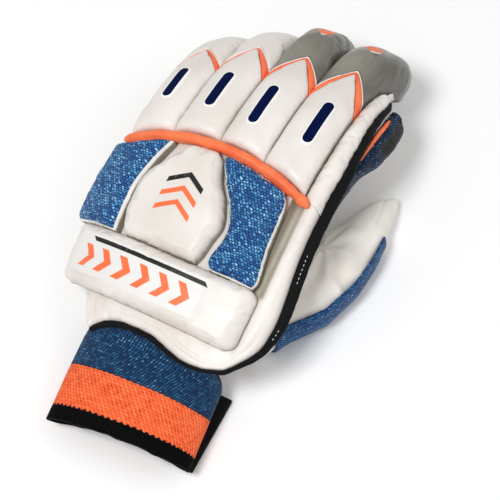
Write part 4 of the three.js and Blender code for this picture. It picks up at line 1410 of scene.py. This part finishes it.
def handLoop(v, inset):
    # outline of the palm's wrist end, over the back and round under the heel
    left = leftEdge(v) + 1.5
    right = rightEdge(v) - edgeSwell(v) - 4
    y, z, pitch = spineAt(v)
    depth = z / math.cos(pitch)
    points = []
    for i in range(loopCounts["top"]):
        u = right + (left - right) * i / (loopCounts["top"] - 1)
        points.append(archAt(u, v, -inset))
    start = archAt(left, v, 0)
    end = archAt(right, v, 0)
    corner = cuffLook["corner"]
    low = -depth + inset

    def cornerAt(origin, sign, angle):
        x = origin[0] + sign * (corner * (1 - math.cos(angle)) + inset)
        return x, origin[1] + (low - origin[1]) * math.sin(angle)

    for i in range(1, loopCounts["side"] + 1):
        points.append(cornerAt(start, 1, math.pi / 2 * i / loopCounts["side"]))
    for i in range(1, loopCounts["bottom"]):
        span = end[0] - start[0] - 2 * corner
        points.append((start[0] + corner + span * i / loopCounts["bottom"], low))
    for i in range(loopCounts["side"], 0, -1):
        points.append(cornerAt(end, -1, math.pi / 2 * i / loopCounts["side"]))
    least = 2.0 if inset > 0 else 0.0
    ring = []
    for x, rise in points:
        p = inPlane(x, rise, v) * 1000
        ring.append(Vector((p.x, p.y, max(p.z, least))))
    return ring


def ovalAngles():
    top, side, bottom = (loopCounts[k] for k in ("top", "side", "bottom"))
    angles = [35 + 110 * i / (top - 1) for i in range(top)]
    angles += [145 + 90 * i / side for i in range(1, side + 1)]
    angles += [235 + 70 * i / bottom for i in range(1, bottom)]
    angles += [305 + 90 * (side - i) / side for i in range(side, 0, -1)]
    return angles


def cuffTube(inset):
    # point of the cuff's wall by share round (from 0 to 1) and share along
    look = cuffLook
    start = handLoop(look["from"], inset)
    angles = ovalAngles()
    shift = backPattern["shift"]
    cuffTop = (sewn(0, look["from"], 0) * 1000).y
    count = len(start)

    def at(around, t):
        x = (around % 1) * count
        k = int(x)
        p = x - k
        a, b, c, d = (start[(k + j) % count] for j in (-1, 0, 1, 2))
        root = 0.5 * ((2 * b) + (c - a) * p + (2 * a - 5 * b + 4 * c - d) * p ** 2
                      + (3 * b - a - 3 * c + d) * p ** 3)
        after = angles[(k + 1) % count] + (360 if k + 1 == count else 0)
        angle = math.radians(angles[k] + (after - angles[k]) * p)
        grow = 1 - (1 - min(t / look["blend"], 1)) ** 2
        height = look["height"] * (1 + look["swell"] * (1 - t))
        wide = (look["width"] / 2 - inset) * math.cos(angle)
        high = (height / 2 - inset) * math.sin(angle)
        goalX = look["middle"] + shift[0] + look["drift"] * t + wide
        goalZ = look["strap"] + 0.35 + height / 2 + high
        lean = (root.y - cuffTop) * (1 - t) ** 4
        y = cuffTop - t * look["length"] + lean + look["turn"] * wide * math.sqrt(t)
        y += t * look["rake"] * max(-math.sin(angle), 0) ** 2
        return Vector((root.x + grow * (goalX - root.x), y, root.z + grow * (goalZ - root.z)))
    return at


cuffOuter = cuffTube(0)
cuffInner = cuffTube(cuffLook["wall"])


def cuffBand(name, start, stop, rows, material, node, roundEnd=False):
    bm = bmesh.new()
    around = 210
    bmesh.ops.create_grid(bm, x_segments=around, y_segments=rows * 2 + 2, size=0.5)
    uvLayer = bm.loops.layers.uv.new("patternMap")
    edgeLayer = bm.verts.layers.float.new("edgeMm")
    total = rows * 2 + 2
    flat = {vert: (vert.co.x + 0.5, (vert.co.y + 0.5) * total) for vert in bm.verts}
    for face in bm.faces:
        for loop in face.loops:
            s, y = flat[loop.vert]
            t = y / rows if y <= rows else max((total - 1 - y) / rows, 0)
            loop[uvLayer].uv = (s * 2.06, min(t, 1) * (stop - start) / 100 + start / 100)
    for vert, (s, y) in flat.items():
        outside = y <= rows + 0.01
        if outside:
            t = y / rows
        else:
            t = (2 * rows + 1 - y) / rows
        t = unit(t)
        along = (start + (stop - start) * t) / cuffLook["length"]
        closing = y > 2 * rows + 1.5
        tube = cuffOuter if outside or closing else cuffInner
        p = tube(s, start / cuffLook["length"] if closing else along)
        ripple = 0.5 * noise.noise(p / 13) + 0.25 * noise.noise(p / 5)
        vert[edgeLayer] = min(t, 1 - t) * (stop - start)
        if outside or closing:
            up = Vector((0, 0, 1)) if p.z > 14 else Vector((0, 0, 0))
            p = p + up * ripple
        reach, most = cuffLook["tuck"]
        if start == 0 and outside and t < reach:
            p = p.lerp(cuffInner(s, along), most * (1 - t / reach))
        if roundEnd:
            swing = 1.1 * waver(p.x / 17, 4.0, 0.0) + 0.5 * waver(p.x / 6, 8.0, 0.0)
            p.y += 0 if closing else swing * t
        vert.co = p / 1000
    bmesh.ops.remove_doubles(bm, verts=bm.verts[:], dist=2e-5)
    return finishPiece(pieceFrom(bm, name), material, [node])


knitLook = {
    "wide": 2.8, "tall": 1.75, "slant": 0.5, "gap": 0.2, "wander": 0.9, "relief": 0.45,
    "roughness": 0.8, "sheen": 0.05, "glints": 0.15, "specular": 0.2,
}


def knitMaterial(name, look, jagged=()):
    # jagged: rows of (along in mm, reach in mm, colour) where the next band's loops reach in
    material = weaveMaterial(name, look)
    tree = material.node_tree
    across, along = patternUv(tree)
    repeat = calc(tree, "FRACT", over(tree, across, 3.4))
    tooth = calc(tree, "ABSOLUTE", minus(tree, repeat, 0.5))
    for place, size, color in jagged:
        reach = plus(tree, place - size, times(tree, tooth, 2 * size))
        past = minus(tree, along, reach)
        tint(material, step(tree, past, -0.12, 0.12), color)
    return material


navyKnit = dict(knitLook, thread=rgb(14, 54, 92), light=rgb(40, 92, 134), slant=-0.6,
                dark=rgb(8, 28, 54), glint=rgb(120, 174, 206), wide=1.7, tall=1.3, glints=0.6)
orangeKnit = dict(knitLook, thread=rgb(246, 102, 54), light=rgb(251, 122, 74), pits=0.24,
                  dark=rgb(230, 86, 42), glint=rgb(255, 150, 108), pitColor=rgb(190, 66, 32),
                  wide=2.5, tall=1.55)
blackKnit = dict(knitLook, thread=rgb(4, 4, 5), light=rgb(9, 9, 11), specular=0.08,
                 dark=rgb(2, 2, 3), glint=rgb(18, 19, 22), gap=0.3, relief=0.4, sheen=0.0)
navyEnd = cuffLook["navy"]
orangeEnd = cuffLook["navy"] + cuffLook["orange"]
navyCloth = knitMaterial("navyKnit", navyKnit, [(navyEnd - 0.5, 0.5, rgb(6, 16, 32)),
                                                (navyEnd - 0.1, 0.4, rgb(250, 120, 72))])
cornerShadowLook = {"from": (25.6, -78.0), "blur": 0.3, "color": rgb(5, 5, 6)}


def paintCornerShadow(material, look):
    # painted shadow: black corner under the tape's end
    tree = material.node_tree
    inX, inY = (step(tree, placeAt(tree, axis), start - look["blur"], start + look["blur"])
                for axis, start in enumerate(look["from"]))
    tint(material, times(tree, inX, inY), look["color"])


paintCornerShadow(navyCloth, cornerShadowLook)
orangeCloth = knitMaterial("orangeKnit", orangeKnit, [(orangeEnd, 1.1, rgb(10, 10, 11))])
blackCloth = knitMaterial("blackKnit", blackKnit)
cuffBand("cuffNavy", 0.0, navyEnd, 24, navyCloth, "cuff_navy_band")
cuffBand("cuffOrange", navyEnd, orangeEnd, 20, orangeCloth, "cuff_orange_band")
cuffBand("cuffHem", orangeEnd, cuffLook["length"], 8, blackCloth, "cuff_black_hem", True)

# closure strap, a flat band with rounded edges
strapLook = {"low": (-29.0, -120.5, 0.0), "high": (39.0, -76.5, 2.6), "round": 0.9}
bm = bmesh.new()
bmesh.ops.create_cube(bm, size=1.0)
for vert in bm.verts:
    vert.co = [(a if c < 0 else b) / 1000 for a, b, c in zip(strapLook["low"], strapLook["high"], vert.co)]
bmesh.ops.bevel(bm, geom=bm.edges[:], offset=strapLook["round"] / 1000, offset_type="OFFSET", affect="EDGES",
                segments=3, profile=0.5, material=-1)
strap = pieceFrom(bm, "closureStrap")
blackWebbing = tapeMaterial("blackWebbing", rgb(10, 10, 11), rgb(24, 24, 26), 0.75)
finishPiece(strap, blackWebbing, ["closure_strap"])
print("cuff and strap made")

# stitches
threadMaterial, threadTree, threadShader = startMaterial("whiteThread", 0.55, 0.4)
threadNoise = noiseAt(threadTree, objectPoint(threadTree), 3, 2.0)
threadTone = blendColor(threadTree, step(threadTree, threadNoise, 0.3, 0.7),
                        rgb(238, 236, 232), rgb(214, 210, 204))
threadTree.links.new(threadTone, threadShader.inputs["Base Color"])
stitchRuns = [(64, 79), (34, 41)]      # stretches of the tape by v where the thread shows
tapeSide = [(q[1], q[0]) for q in tapePath[24:]]
for number, (low, high) in enumerate(stitchRuns, 1):
    places = [low + k * (high - low) / 6 for k in range(7)]
    run = [(curveAt(tapeSide, v), v, tapeLook["radius"] + 0.35) for v in places]
    stitchRow("tapeStitches" + str(number), run, 2.3, 1.5, 0.4, 0.3, threadMaterial, 1.75)
print("stitches made")

# floor and light
floorLook = {"size": 4.0, "color": (0.96, 0.96, 0.96)}
bm = bmesh.new()
bmesh.ops.create_grid(bm, x_segments=2, y_segments=2, size=floorLook["size"] / 2)
floor = pieceFrom(bm, "studioFloor")
floorMaterial, floorTree, floorShader = startMaterial("studioFloor", 0.9, 0.1)
floorShader.inputs["Base Color"].default_value = (*floorLook["color"], 1)
floor.data.materials.append(floorMaterial)

lightLook = {
    "key": {"place": (-0.14, -0.5, 1.1), "size": 0.3, "power": 8.2},
    "fill": {"place": (0.9, 0.5, 1.1), "size": 1.4, "power": 4.5},
    "world": 0.5,
}
for name in ("key", "fill"):
    look = lightLook[name]
    data = bpy.data.lights.new(name + "Light", "AREA")
    data.energy = look["power"]
    data.size = look["size"]
    lamp = bpy.data.objects.new(name + "Light", data)
    lamp.location = look["place"]
    lamp.rotation_euler = (-Vector(look["place"])).to_track_quat("-Z", "Y").to_euler()
    bpy.context.collection.objects.link(lamp)
world = bpy.data.worlds.new("studioWorld")
world.use_nodes = True
world.node_tree.nodes["Background"].inputs[0].default_value = (1, 1, 1, 1)
world.node_tree.nodes["Background"].inputs[1].default_value = lightLook["world"]
bpy.context.scene.world = world
bpy.context.scene.view_settings.view_transform = "Standard"
print("stage lit")
